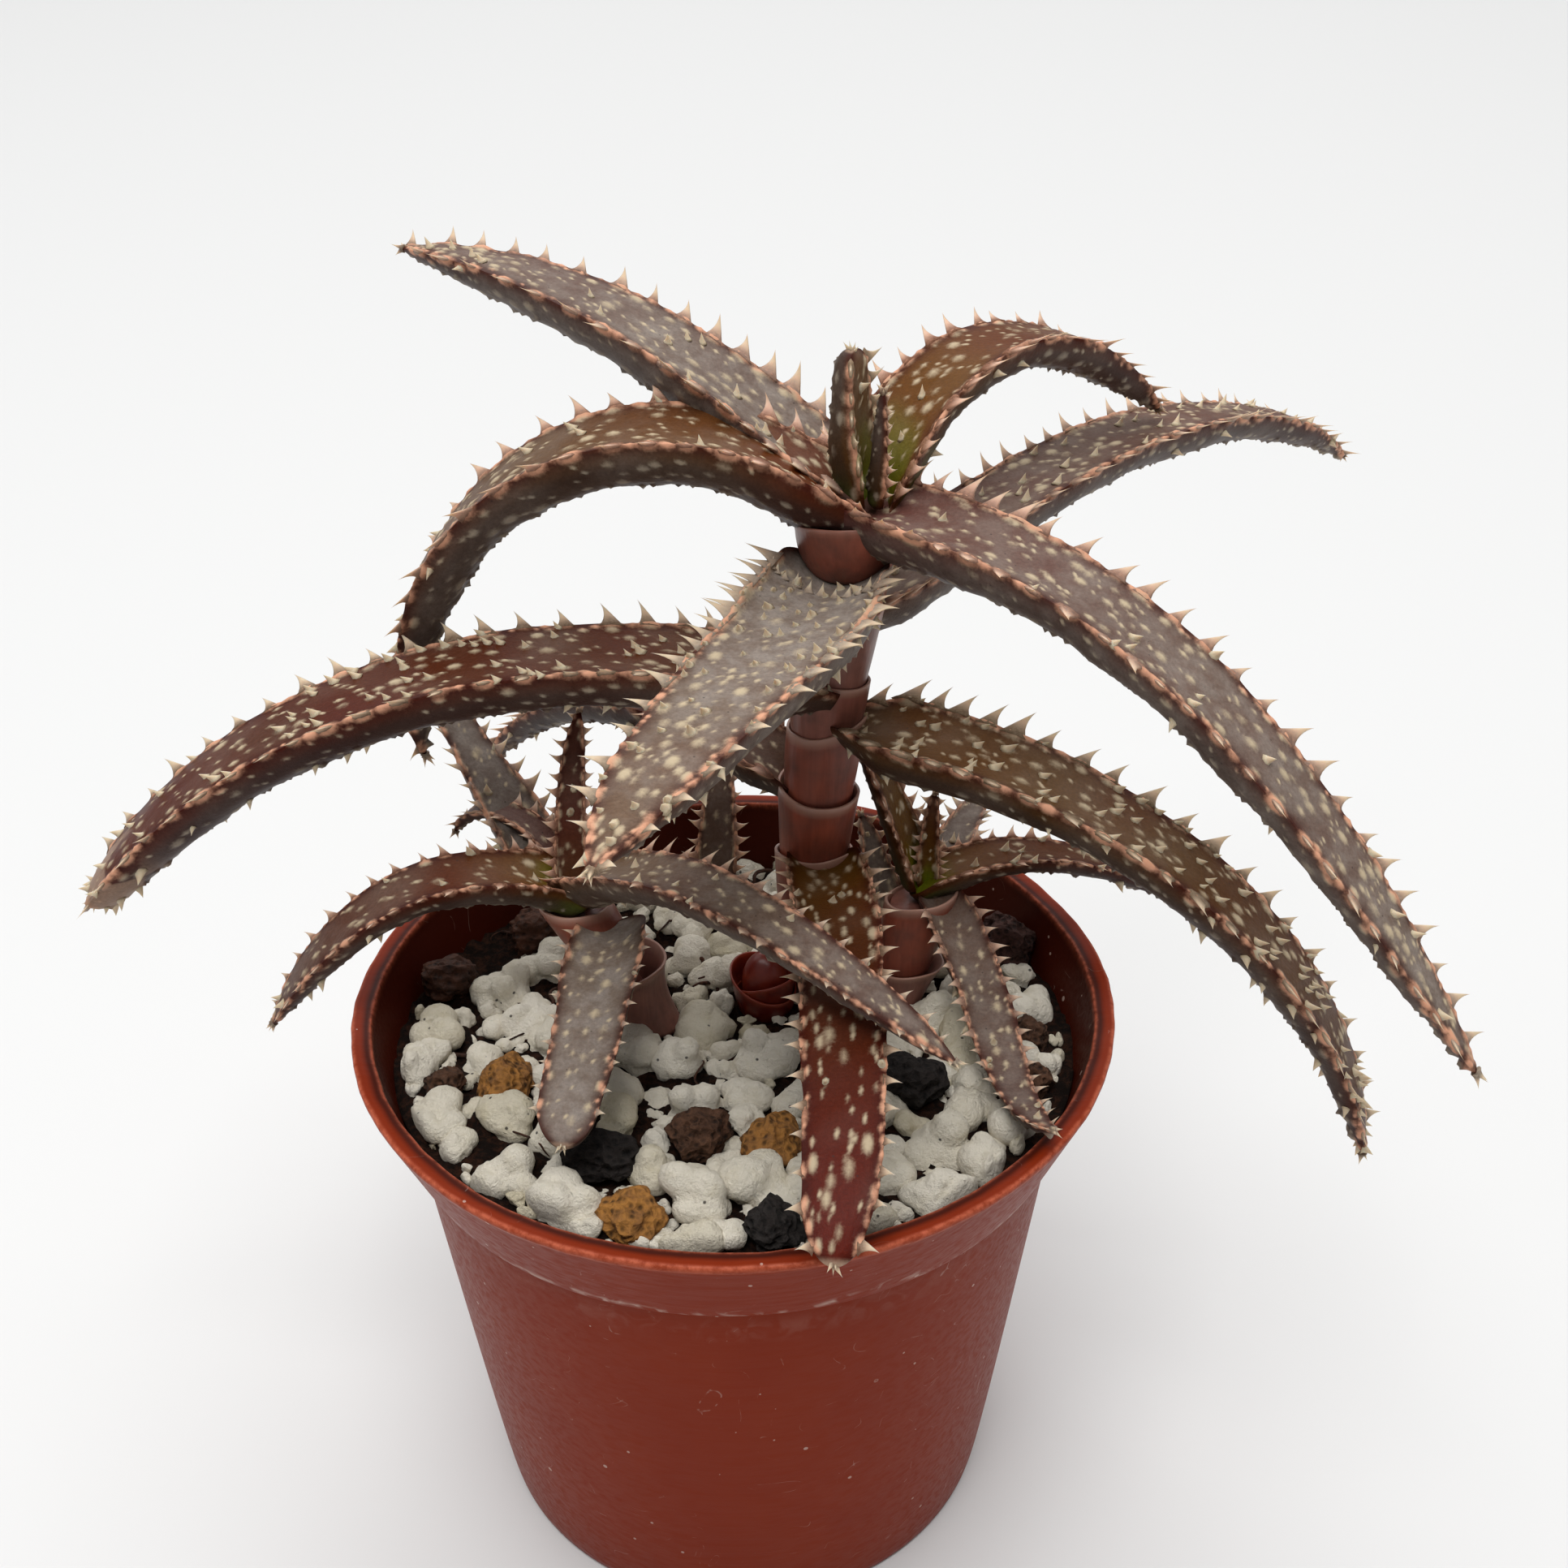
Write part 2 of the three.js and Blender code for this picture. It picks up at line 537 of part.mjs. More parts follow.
function toothLength(leaf) {
  return TOOTH_LENGTH * THREE.MathUtils.clamp(0.42 + 0.065 * leaf.width, 0.5, 1);
}

// A whole blade: teeth along both margins, and prickles on every second stretch of each face
function toothedBlade(leaf, line) {
  const skin = new Skin();
  const rings = bladeRings(skin, leaf, line);
  for (let i = 0; i < leaf.rings; i += 1) {
    const { along, up } = stationAt(line, (i + 0.5) / leaf.rings);
    const toothed = i * leaf.length >= leaf.rings * Math.min(0.45 * leaf.width, 0.25 * leaf.length);
    const teeth = toothed
      ? MARGINS.map((column) => marginTooth(skin, leaf, line, rings, i, column))
      : [];
    SECTION.forEach((_, j) => {
      const beside = MARGINS.indexOf(j);
      const before = MARGINS.indexOf((j + 1) % SECTION.length);
      const prickled = toothed && i < leaf.rings - 1 && j === PRICKLED[i % PRICKLED.length];
      if (toothed && beside >= 0) toothedPatch(skin, rings, i, j, teeth[beside], true);
      else if (toothed && before >= 0) toothedPatch(skin, rings, i, j, teeth[before], false);
      else if (prickled) {
        const outward = up.clone().multiplyScalar(j < RIGHT_MARGIN ? 1 : -1);
        prickledPatch(skin, patchOf(rings, i, j), along, outward, 0.55 * toothLength(leaf));
      } else skin.patch(patchOf(rings, i, j));
    });
  }
  return skin.solid();
}

// A leaf as one body, and the slightly fatter body that its neighbours are cut back from
function makeLeaf(leaf) {
  const line = midline(leaf);
  const parts = [toothedBlade(leaf, line)];
  const cutters = [bareBlade(leaf, line, GAP)];
  if (leaf.sheath) {
    const [from, to, flare] = leaf.sheath;
    parts.push(sheathTube(leaf.stem, from, to, flare));
    cutters.push(sheathTube(leaf.stem, from, to, flare, GAP));
  }
  return { solid: wasm.Manifold.union(parts), cutter: wasm.Manifold.union(cutters) };
}

function makeRedShoot(grow = 0) {
  const shape = new THREE.LatheGeometry([
    new THREE.Vector2(0, 0),
    new THREE.Vector2(1.9 + grow, 0),
    new THREE.Vector2(2.6 + grow, 2.4),
    new THREE.Vector2(2.2 + grow, 5),
    new THREE.Vector2(0, 6.2 + grow),
  ], 9);
  return solidFrom(shape.rotateX(Math.PI / 2).translate(2.6, 4.6, SOIL_TOP));
}

function groupOf(meshes) {
  const group = new THREE.Group();
  group.add(...meshes);
  return group;
}

const stemNames = Object.keys(STEMS);
const stemCutters = stemNames.map((stem) => stemCore(stem, GAP));
const stemMeshes = stemNames.map((stem) => meshOf(`${stem}_stem`, stemCore(stem), COLOURS.stem, 0.5));

const oldSheaths = OLD_SHEATHS.map(({ stem, from, to, flare }) => sheathTube(stem, from, to, flare));
const oldSheathCutters = OLD_SHEATHS.map(({ stem, from, to, flare }) => sheathTube(stem, from, to, flare, GAP));
const sheathMeshes = OLD_SHEATHS.map(({ name, colour }, i) => meshOf(name, oldSheaths[i], colour, 0.5));

// A leaf gives way to the stems and to the leaves above it, and its teeth to the leaves below it
const leaves = LEAVES.map((leaf) => makeLeaf(leaf));
const leafCutters = leaves.map(({ cutter }) => cutter);
const leafMeshes = LEAVES.map(({ name, bloom }, i) => {
  const above = leafCutters.slice(0, i);
  const below = leafCutters.slice(i + 1).map((cutter) => cutter.subtract(leafCutters[i]));
  const whole = mainPiece(cutBy(leaves[i].solid, [...stemCutters, ...oldSheathCutters, ...above, ...below]));
  const colour = new THREE.Color(COLOURS.darkLeaf).lerp(new THREE.Color(COLOURS.bloomedLeaf), bloom);
  return meshOf(name, whole, colour, 0.55);
});

const inside = makeInside();
const stones = STONES.map((stone) => makeStone(stone).intersect(inside));
const stoneCutters = STONES.map((stone) => makeStone(stone, GAP));
const stoneMeshes = STONES.map(({ name, kind }, i) => meshOf(name, stones[i], COLOURS[kind], 0.9));
const standing = [...stemCutters, ...oldSheathCutters, ...stoneCutters, ...leafCutters, makeRedShoot(GAP)];
const perlite = makePerlite(standing);

const pot = new THREE.Group();
pot.add(meshOf('pot', makePot(), COLOURS.terracotta, 0.45));
const filling = groupOf([
  meshOf('soil', makeSoil(stemCutters), COLOURS.soil, 0.95),
  meshOf('perlite', perlite, COLOURS.perlite, 0.9),
  ...stoneMeshes,
]);
const plant = groupOf([
  ...stemMeshes,
  ...sheathMeshes,
  ...leafMeshes,
  meshOf('red_shoot', makeRedShoot(), COLOURS.redShoot, 0.5),
]);

const pottedAloe = new THREE.Group();
pottedAloe.add(pot, filling, plant);

export default pottedAloe;
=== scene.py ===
"""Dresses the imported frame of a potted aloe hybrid: spotted, toothed leaves on a sheathed stem, three
offsets at its foot, a bed of perlite and lava grit, and a small terracotta-coloured nursery pot.

Shapes are worked out in millimetres in the frame's axes and go into the meshes in metres.
"""
import math
from collections import namedtuple

import bpy
import numpy as np
from bpy.props import FloatProperty, FloatVectorProperty, IntProperty, PointerProperty
from mathutils import Matrix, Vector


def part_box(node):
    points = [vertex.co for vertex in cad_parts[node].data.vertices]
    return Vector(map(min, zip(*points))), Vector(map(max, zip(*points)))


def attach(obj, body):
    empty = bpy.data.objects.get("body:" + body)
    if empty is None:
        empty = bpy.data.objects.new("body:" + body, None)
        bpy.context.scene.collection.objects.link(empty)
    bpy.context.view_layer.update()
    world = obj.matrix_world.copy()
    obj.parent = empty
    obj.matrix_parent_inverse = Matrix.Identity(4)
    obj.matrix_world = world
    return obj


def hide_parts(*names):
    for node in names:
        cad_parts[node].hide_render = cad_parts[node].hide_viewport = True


bl_info = {
    "name": "Potted Aloe Hybrid",
    "version": (1, 0, 0),
    "blender": (4, 5, 0),
    "location": "View3D > Sidebar > Aloe",
    "description": "Builds the leaves, stems, grit and pot of a spotted aloe round its packed frame",
    "category": "Add Mesh",
}

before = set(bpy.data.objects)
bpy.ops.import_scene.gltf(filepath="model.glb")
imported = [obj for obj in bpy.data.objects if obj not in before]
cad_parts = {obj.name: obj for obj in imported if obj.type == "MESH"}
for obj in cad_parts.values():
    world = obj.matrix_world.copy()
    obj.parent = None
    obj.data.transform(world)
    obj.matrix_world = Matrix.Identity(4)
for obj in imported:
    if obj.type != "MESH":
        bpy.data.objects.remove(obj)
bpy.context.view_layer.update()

MM = 0.001
SEED = 6703
TURN = 2 * math.pi

# The leaves as they grow: where each one leaves its stem, how its midline turns, its length and width,
# and its colours at the tone stations from base to tip, as shares of grey bloom, red and green. A sheath
# is the tube that the leaf's foot makes round the stem: two heights and the lip's flare, and full is how
# far it bulges. Comb is the teeth's spacing at the foot as a share of their spacing further out, foot is
# how far the blade reaches behind its base by its width, neck is its width there as a share of the full
# one, taper is the share of its width that it loses on the way to the tip, and teeth, prickly and rosy
# say how long the teeth are, how many of the spots have a prickle, and how pink the teeth are. Stretch is
# a spot's length by its width, and a silvery leaf has dried towards its tip.
Leaf = namedtuple("Leaf", "node stem base heading pitch length width bloom red green sheath blunt comb "
                  "foot neck full taper teeth prickly rosy stretch silvery",
                  defaults=(None, False, 0.75, 0.3, 0.85, 0, 0.38, 1, 0.1, 1, 1.45, False))
LEAVES = (
    Leaf("heart_leaf_tall", "main", (10.4, 9.2, 93.4), (158, 158, 158), (84, 87, 90), 11.5, 5.6,
         (0.1, 0.15, 0.3), (0.1, 0.15, 0.3), (1, 0.85, 0.6), blunt=True, teeth=1.2, rosy=0.1),
    Leaf("heart_leaf_small", "main", (12, 7.6, 93.4), (180, 180, 180), (94, 92, 88), 9, 2.6,
         (0, 0.1, 0.2), (0.2, 0.3, 0.6), (1, 0.6, 0.2)),
    Leaf("leaf_upper_right", "main", (11.6, 10.4, 91.2), (48, 43, 39), (72, -34, -41), 45, 7.8,
         (0, 0, 0.25), (0.2, 0.45, 0.55), (1, 0.65, 0.15), prickly=0.04),
    Leaf("leaf_left_arch", "main", (10.5, 8.4, 90.6), (178, 177, 174), (52, -41, -101), 59, 10,
         (0, 0.2, 0.55), (0.8, 0.25, 0.15), (0.6, 0.55, 0.1), prickly=0.07),
    Leaf("leaf_upper_left", "main", (10.5, 10.9, 91.4), (156, 154, 152), (39, 23, -1), 46, 9.4,
         (0.85, 0.75, 0.4), (0.15, 0.2, 0.4), (0.2, 0.1, 0.05), prickly=0.08),
    Leaf("leaf_big_right", "main", (10.6, 7.6, 91.6), (-33, -35, -32), (10, -51, -50), 66, 8.8,
         (0.3, 0.55, 0.8), (0.9, 0.4, 0.1), (0.1, 0.1, 0.2), (88, 91.5, 0.5), foot=0.5, full=1.4,
         prickly=0.06),
    Leaf("leaf_front", "main", (8.6, 5.8, 86.3), (-110, -120, -112), (0, 4, -11), 41, 10.8,
         (1, 0.85, 0.3), (0, 0.1, 0.3), (0.2, 0.2, 0.5), (82, 85.2, 0.3), comb=0.3, prickly=0.2,
         rosy=0.45),
    Leaf("leaf_back_right", "main", (9.8, 9.7, 81.8), (41, 44, 42), (19, 3, -36), 76, 8.6,
         (0.45, 0.4, 0.25), (0.3, 0.45, 0.55), (0.4, 0.25, 0.1), (77.4, 82.7, 0.15), neck=0.7,
         rosy=0.7),
    Leaf("leaf_long_left", "main", (8.2, 7, 76.2), (-172, -172, -171), (24, -11, -52), 68, 9.6,
         (0, 0.05, 0.1), (0.3, 0.45, 0.5), (0.35, 0.15, 0), (72.8, 77.1, 0.15), True, foot=0.05,
         neck=0.45, taper=0.26, prickly=0.25, rosy=0.3, silvery=True),
    Leaf("leaf_right", "main", (9.1, 7.4, 72.8), (-27, -22, -19), (6, -26, -79), 62, 9,
         (0.1, 0.1, 0.25), (0.15, 0.2, 0.25), (0.5, 0.45, 0.2), (66.3, 72.5, 0.15), foot=0.05,
         neck=0.45, prickly=0.3, rosy=0.3),
    Leaf("leaf_back_left", "main", (5.5, 9.6, 66), (139, 139, 141), (22, -21, -54), 46, 7.2,
         (0.1, 0.2, 0.3), (0.3, 0.4, 0.4), (0.2, 0.2, 0.1), (59.8, 66, 0.35), neck=0.7),
    # leaf_over_rim is dark brown in its middle, with little red and little green there: partly its own
    # colour, partly painted shade where it lies under the crown
    Leaf("leaf_over_rim", "main", (7.8, 5.6, 59.6), (-84, -90, -97), (14, -10, -30), 42, 7.4,
         (0, 0, 0), (0.1, 0.35, 1), (0.6, 0.12, 0), (51, 59.5, 0.2), True, taper=0.24, teeth=0.85,
         prickly=0.06, rosy=0.5, stretch=2.1),
    Leaf("left_pup_heart_leaf", "left", (-13.7, 3.6, 60.2), (87, 81, 78), (80, 66, 50), 15, 3,
         (0.1, 0.1, 0.1), (0.3, 0.5, 0.5), (0.5, 0.1, 0)),
    Leaf("left_pup_leaf_left", "left", (-14, 2.6, 59.4), (-166, -163, -163), (43, -36, -58), 31, 6,
         (0, 0.05, 0.45), (0.1, 0.55, 0.35), (1, 0.35, 0), taper=0.26, teeth=0.75),
    Leaf("left_pup_leaf_right", "left", (-13.2, 2.8, 59.8), (-45, -41, -31), (48, -19, -24), 42, 6,
         (0.15, 0.5, 0.65), (0.15, 0.15, 0.4), (0.7, 0.3, 0), taper=0.3, teeth=0.75),
    Leaf("left_pup_leaf_back", "left", (-15, 4.1, 58.6), (129, 129, 129), (35, 35, 26), 23, 5.6,
         (0.85, 0.95, 0.9), (0.05, 0.05, 0.15), (0.15, 0.1, 0.05)),
    Leaf("left_pup_leaf_small", "left", (-14.3, 6, 58.2), (152, 153, 154), (78, 21, -71), 16, 3.2,
         (0.2, 0.3, 0.3), (0.5, 0.6, 0.6), (0.1, 0, 0)),
    Leaf("left_pup_leaf_front", "left", (-10.2, 0.8, 56.5), (-95, -97, -97), (-1, -8, -18), 23, 6.8,
         (0.8, 0.85, 0.8), (0, 0, 0.1), (0.4, 0.3, 0.15), (53.4, 57.7, 0.1), True, full=0.4, taper=0.3,
         teeth=0.5, prickly=0.03),
    Leaf("right_pup_heart_leaf", "right", (17, 7.8, 56.7), (84, 78, 72), (80, 70, 56), 8.5, 2.1,
         (0, 0.05, 0.1), (0.1, 0.3, 0.6), (1, 0.8, 0.3)),
    Leaf("right_pup_leaf_left", "right", (16, 8.4, 57), (151, 151, 150), (76, 63, 56), 14, 4.4,
         (0, 0, 0.05), (0.2, 0.2, 0.3), (1, 0.8, 0.6)),
    Leaf("right_pup_leaf_right", "right", (16.7, 7.8, 56.6), (10, 9, 9), (30, -16, -42), 24, 4.8,
         (0, 0, 0.15), (0.2, 0.45, 0.4), (1, 0.4, 0.2), teeth=0.8),
    Leaf("right_pup_leaf_back", "right", (17.6, 9.2, 56.2), (61, 62, 61), (18, 16, 12), 13, 3.8,
         (0.9, 0.85, 0.8), (0.1, 0.2, 0.3), (0, 0, 0)),
    Leaf("right_pup_leaf_small", "right", (13.8, 8.8, 53.5), (126, 125, 123), (60, 60, 60), 9, 3,
         (0.7, 0.7, 0.7), (0.1, 0.1, 0.1), (0.2, 0.2, 0.2)),
    Leaf("right_pup_leaf_front", "right", (17.8, 6.4, 55.9), (-58, -102, -66), (-22, -22, 32), 30, 4.8,
         (0.45, 0.5, 0.55), (0.25, 0.2, 0.35), (0.3, 0.1, 0), (50.4, 55.4, 0.3), full=0.3,
         teeth=0.75),
    Leaf("rear_pup_leaf", "rear", (-2.1, 24, 46.7), (86, 81, 78), (80, 60, 40), 13, 4.2,
         (0.4, 0.4, 0.4), (0.1, 0.2, 0.2), (0.1, 0.1, 0.1)),
)
TONE_STATIONS = (0, 0.35, 1)

# The stems' axes as points, and their radii
STEMS = {
    "main": (((7, 7, 36), (7, 7, 47), (7, 8.6, 59.5), (7.4, 8.6, 66), (8, 8.6, 72.6), (8.5, 8.6, 77.4),
              (9.2, 8.6, 82.6), (9.7, 8.6, 87), (10.3, 8.6, 90.4)), 2),
    "left": (((-6, 1, 38), (-7, 1.4, 46.7), (-10.5, 2.6, 52.5), (-13.6, 3.2, 58.2)), 1.4),
    "right": (((14, 5, 38), (14.2, 5.2, 46.5), (16.4, 7.3, 55.5)), 1.4),
    "rear": (((-3, 24, 38), (-2.7, 24, 45.5), (-2.4, 24, 47.4)), 1.2),
}

# Sheaths whose leaves are gone: node, stem, heights, flare, the heading they open to, and how far
OLD_SHEATHS = (
    ("left_pup_foot_sheath", "left", 47.8, 52.2, 1.1, -35, 1.3),
    ("right_pup_foot_sheath", "right", 46.8, 49.6, 0.7, -80, 0.5),
)

# Loose stones of the frame by what they are
STONES = {
    "pumice_left": "pumice", "pumice_middle": "pumice", "pumice_front": "pumice",
    "lava_brown_left": "brown_lava", "lava_brown_middle": "brown_lava", "lava_brown_right": "brown_lava",
    "lava_brown_far_right": "brown_lava", "lava_black_front": "black_lava",
    "lava_black_left": "black_lava", "lava_black_right": "black_lava", "lava_red_back": "red_lava",
    "bark_left": "bark", "bark_back": "bark",
}
# Kinds of loose stone: the slot of each, and how deep its pores look
STONE_KINDS = {
    "pumice": ("ochre_pumice", 0.5), "brown_lava": ("brown_lava", 0.6), "black_lava": ("black_lava", 0.7),
    "red_lava": ("red_lava", 0.7), "bark": ("bark", 0.4),
}

# A sheath's gap from its stem, and its wall near the foot
SHEATH_GAP = 0.3
SHEATH_WALL = 0.9

# The filling: its level in the middle and its slope to the back, and how far from the middle the soil,
# the grains and the fibres reach. What would pass the wall reach is pressed back within the wall's give.
SOIL_TOP = 45.6
SURFACE_SLOPE = -0.06
BED_REACH = 29.4
GRAIN_REACH = 29.3
FIBRE_REACH = 28.6
WALL_REACH = 27.4
WALL_GIVE = 1.7

# Where the four stems and the bud come out of the filling, and how far the grains keep off
FEET = ((7, 7, 2.6), (-7.4, 1.5, 2.4), (14.3, 5.2, 2.2), (-2.7, 24, 1.6), (2.6, 4.6, 2.6))

# The photograph's camera in millimetres and degrees, and the lights in metres: place, size and setting
CAMERA_PLACE = (4.45, -133.9, 153.9)
CAMERA_ELEVATION = 31.46
CAMERA_ROLL = -0.44
LIT_POINT = (0, 0.01, 0.06)
LIGHTS = {"overhead_light": ((-0.02, 0.62, 1.35), 2.4, "overhead"),
          "key_light": ((-0.06, -0.33, 0.85), 0.4, "key")}
FLOOR_HALF = 2.5


def linear(code):
    """A colour's linear red, green, blue and alpha from its sRGB hex code."""
    parts = np.array([int(code[k:k + 2], 16) for k in (1, 3, 5)]) / 255
    parts = np.where(parts <= 0.04045, parts / 12.92, ((parts + 0.055) / 1.055) ** 2.4)
    return (*parts.tolist(), 1.0)


def colour_property(name, description, code):
    return FloatVectorProperty(name=name, description=description, subtype="COLOR", size=4, min=0, max=1,
                               default=linear(code))


def size_property(name, description, millimetres):
    return FloatProperty(name=name, description=description, default=millimetres * MM, min=0,
                         subtype="DISTANCE", unit="LENGTH", precision=5)


def share_property(name, description, share):
    return FloatProperty(name=name, description=description, default=share, min=0, max=1,
                         subtype="FACTOR")


def number_property(name, description, number, least=0, **unit_of_it):
    return FloatProperty(name=name, description=description, default=number, min=least, **unit_of_it)


def count_property(name, description, count):
    return IntProperty(name=name, description=description, default=count, min=0)


# Arrays and skins

def smooth(value, low, high):
    """0 below low, 1 above high, and the cubic 3x^2 - 2x^3 between."""
    x = np.clip((value - low) / (high - low), 0, 1)
    return x * x * (3 - 2 * x)


def unit(vectors):
    return vectors / (np.linalg.norm(vectors, axis=-1, keepdims=True) + 1e-12)


def turns(count):
    """Angles once round in equal steps."""
    return np.arange(count) * TURN / count


def around(radius, turn, height):
    """Points at a radius and an angle about the upright axis, at a height."""
    x = radius * np.cos(turn)
    return np.stack([x, radius * np.sin(turn), height + 0 * x], -1)


def waves(points, size, rng):
    """Soft noise from about -1 to 1: the mean of 24 sine waves, each with a random direction and phase
    and a length near size, brought back to full height."""
    count = 24
    ways = unit(rng.normal(size=(count, 3)))
    lengths = size * rng.uniform(0.7, 1.5, count)
    phases = rng.uniform(0, TURN, count)
    angle = points @ (ways / lengths[:, None] * TURN).T + phases
    return np.sin(angle).mean(axis=-1) * math.sqrt(count) * 0.7


def blend(values, t):
    """A value that leaves the first of three, leans to the second and ends at the third:
    (1-t)^2 first + 2t(1-t) second + t^2 third."""
    return (1 - t) ** 2 * values[0] + 2 * t * (1 - t) * values[1] + t ** 2 * values[2]


def rounded(points):
    """A profile with its corners cut three times: each stretch gives points at a quarter and three
    quarters of itself. The ends stay."""
    points = np.asarray(points, float)
    for _ in range(3):
        first, second = points[:-1], points[1:]
        cut = np.stack([0.75 * first + 0.25 * second, 0.25 * first + 0.75 * second], axis=1)
        points = np.vstack([points[:1], cut.reshape(-1, points.shape[1])[1:-1], points[-1:]])
    return points


class Shells:
    """Closed skins gathered for one piece: corners, faces, values at the corners and material numbers."""

    def __init__(self):
        self.corners, self.quads, self.triangles = [], [], []
        self.quad_materials, self.triangle_materials, self.values = [], [], []
        self.count = 0

    def add(self, rings, low=None, high=None, material=0, **values):
        """Adds one skin for each first index of rings, an array of (skins, rings, sides, 3). With a low
        and a high point (skins, 3) the ends close in fans; without them the last ring joins the first."""
        skins, ring_count, sides, _ = rings.shape
        i, j = np.meshgrid(np.arange(ring_count - (low is not None)), np.arange(sides), indexing="ij")
        across, onward = (j + 1) % sides, (i + 1) % ring_count
        quads = np.stack([i * sides + j, i * sides + across, onward * sides + across,
                          onward * sides + j], axis=-1).reshape(-1, 4)
        corners = rings.reshape(skins, -1, 3)
        triangles = np.zeros((0, 3), int)
        if low is not None:
            side = np.arange(sides)
            beside = (side + 1) % sides
            last = (ring_count - 1) * sides
            foot = np.full(sides, ring_count * sides)
            triangles = np.vstack([np.stack([foot, beside, side], 1),
                                   np.stack([foot + 1, last + side, last + beside], 1)])
            corners = np.concatenate([corners, low[:, None], high[:, None]], axis=1)
        if self.volume(corners[0], quads, triangles) < 0:
            quads, triangles = quads[:, ::-1], triangles[:, ::-1]
        offsets = (self.count + np.arange(skins) * corners.shape[1])[:, None, None]
        self.corners.append(corners.reshape(-1, 3))
        self.quads.append((quads[None] + offsets).reshape(-1, 4))
        self.triangles.append((triangles[None] + offsets).reshape(-1, 3))
        self.quad_materials.append(np.full(len(self.quads[-1]), material))
        self.triangle_materials.append(np.full(len(self.triangles[-1]), material))
        spread = {}
        for name, value in values.items():
            full = np.broadcast_to(value, rings.shape[:3]).reshape(skins, -1)
            if low is not None:
                ends = [full[:, :sides].mean(1, keepdims=True), full[:, -sides:].mean(1, keepdims=True)]
                full = np.concatenate([full, *ends], axis=1)
            spread[name] = full.ravel()
        self.values.append(spread)
        self.count += skins * corners.shape[1]

    def add_solid(self, rings, **values):
        """Adds one skin, (rings, sides, 3), that closes at the middles of its first and last ring."""
        self.add(rings[None], rings[0].mean(0)[None], rings[-1].mean(0)[None], **values)

    @staticmethod
    def volume(corners, quads, triangles):
        """Six times the volume inside: the sum of each face's first corner dotted with the cross product
        of its next two, about the first corner of all."""
        corners = corners - corners.mean(axis=0)
        total = 0
        for face in (quads[:, [0, 1, 2]], quads[:, [0, 2, 3]], triangles):
            a, b, c = (corners[face[:, k]] for k in range(3))
            total += np.einsum("ij,ij->", a, np.cross(b, c))
        return total

    def mesh(self, name):
        """The mesh, in metres, with every value as an attribute of its corners."""
        quads, triangles = np.vstack(self.quads), np.vstack(self.triangles)
        mesh = bpy.data.meshes.new(name)
        mesh.vertices.add(self.count)
        mesh.vertices.foreach_set("co", (np.vstack(self.corners) * MM).astype(np.float32).ravel())
        loops = np.concatenate([quads.ravel(), triangles.ravel()]).astype(np.int32)
        mesh.loops.add(len(loops))
        mesh.loops.foreach_set("vertex_index", loops)
        starts = np.concatenate([np.arange(len(quads)) * 4,
                                 len(quads) * 4 + np.arange(len(triangles)) * 3]).astype(np.int32)
        mesh.polygons.add(len(starts))
        mesh.polygons.foreach_set("loop_start", starts)
        materials = np.concatenate(self.quad_materials + self.triangle_materials).astype(np.int32)
        mesh.polygons.foreach_set("material_index", materials)
        mesh.polygons.foreach_set("use_smooth", np.ones(len(starts), bool))
        names = sorted({key for spread in self.values for key in spread})
        sizes = [len(corners) for corners in self.corners]
        for key in names:
            parts = [spread.get(key, np.zeros(size)) for spread, size in zip(self.values, sizes)]
            layer = mesh.attributes.new(key, "FLOAT", "POINT")
            layer.data.foreach_set("value", np.concatenate(parts).astype(np.float32))
        mesh.update(calc_edges=True)
        mesh.validate()
        return mesh


def place(name, shells, materials, nodes=()):
    """Puts gathered skins into the scene as a piece that rides on the pot, in place of its nodes."""
    mesh = shells.mesh(name)
    for material in materials:
        mesh.materials.append(material)
    piece = bpy.data.objects.new(name, mesh)
    bpy.context.scene.collection.objects.link(piece)
    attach(piece, "root")
    if nodes:
        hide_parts(*nodes)
    return piece


# Materials

def per(millimetres):
    """A texture scale whose features are about so many millimetres wide."""
    return 1 / (millimetres * MM)


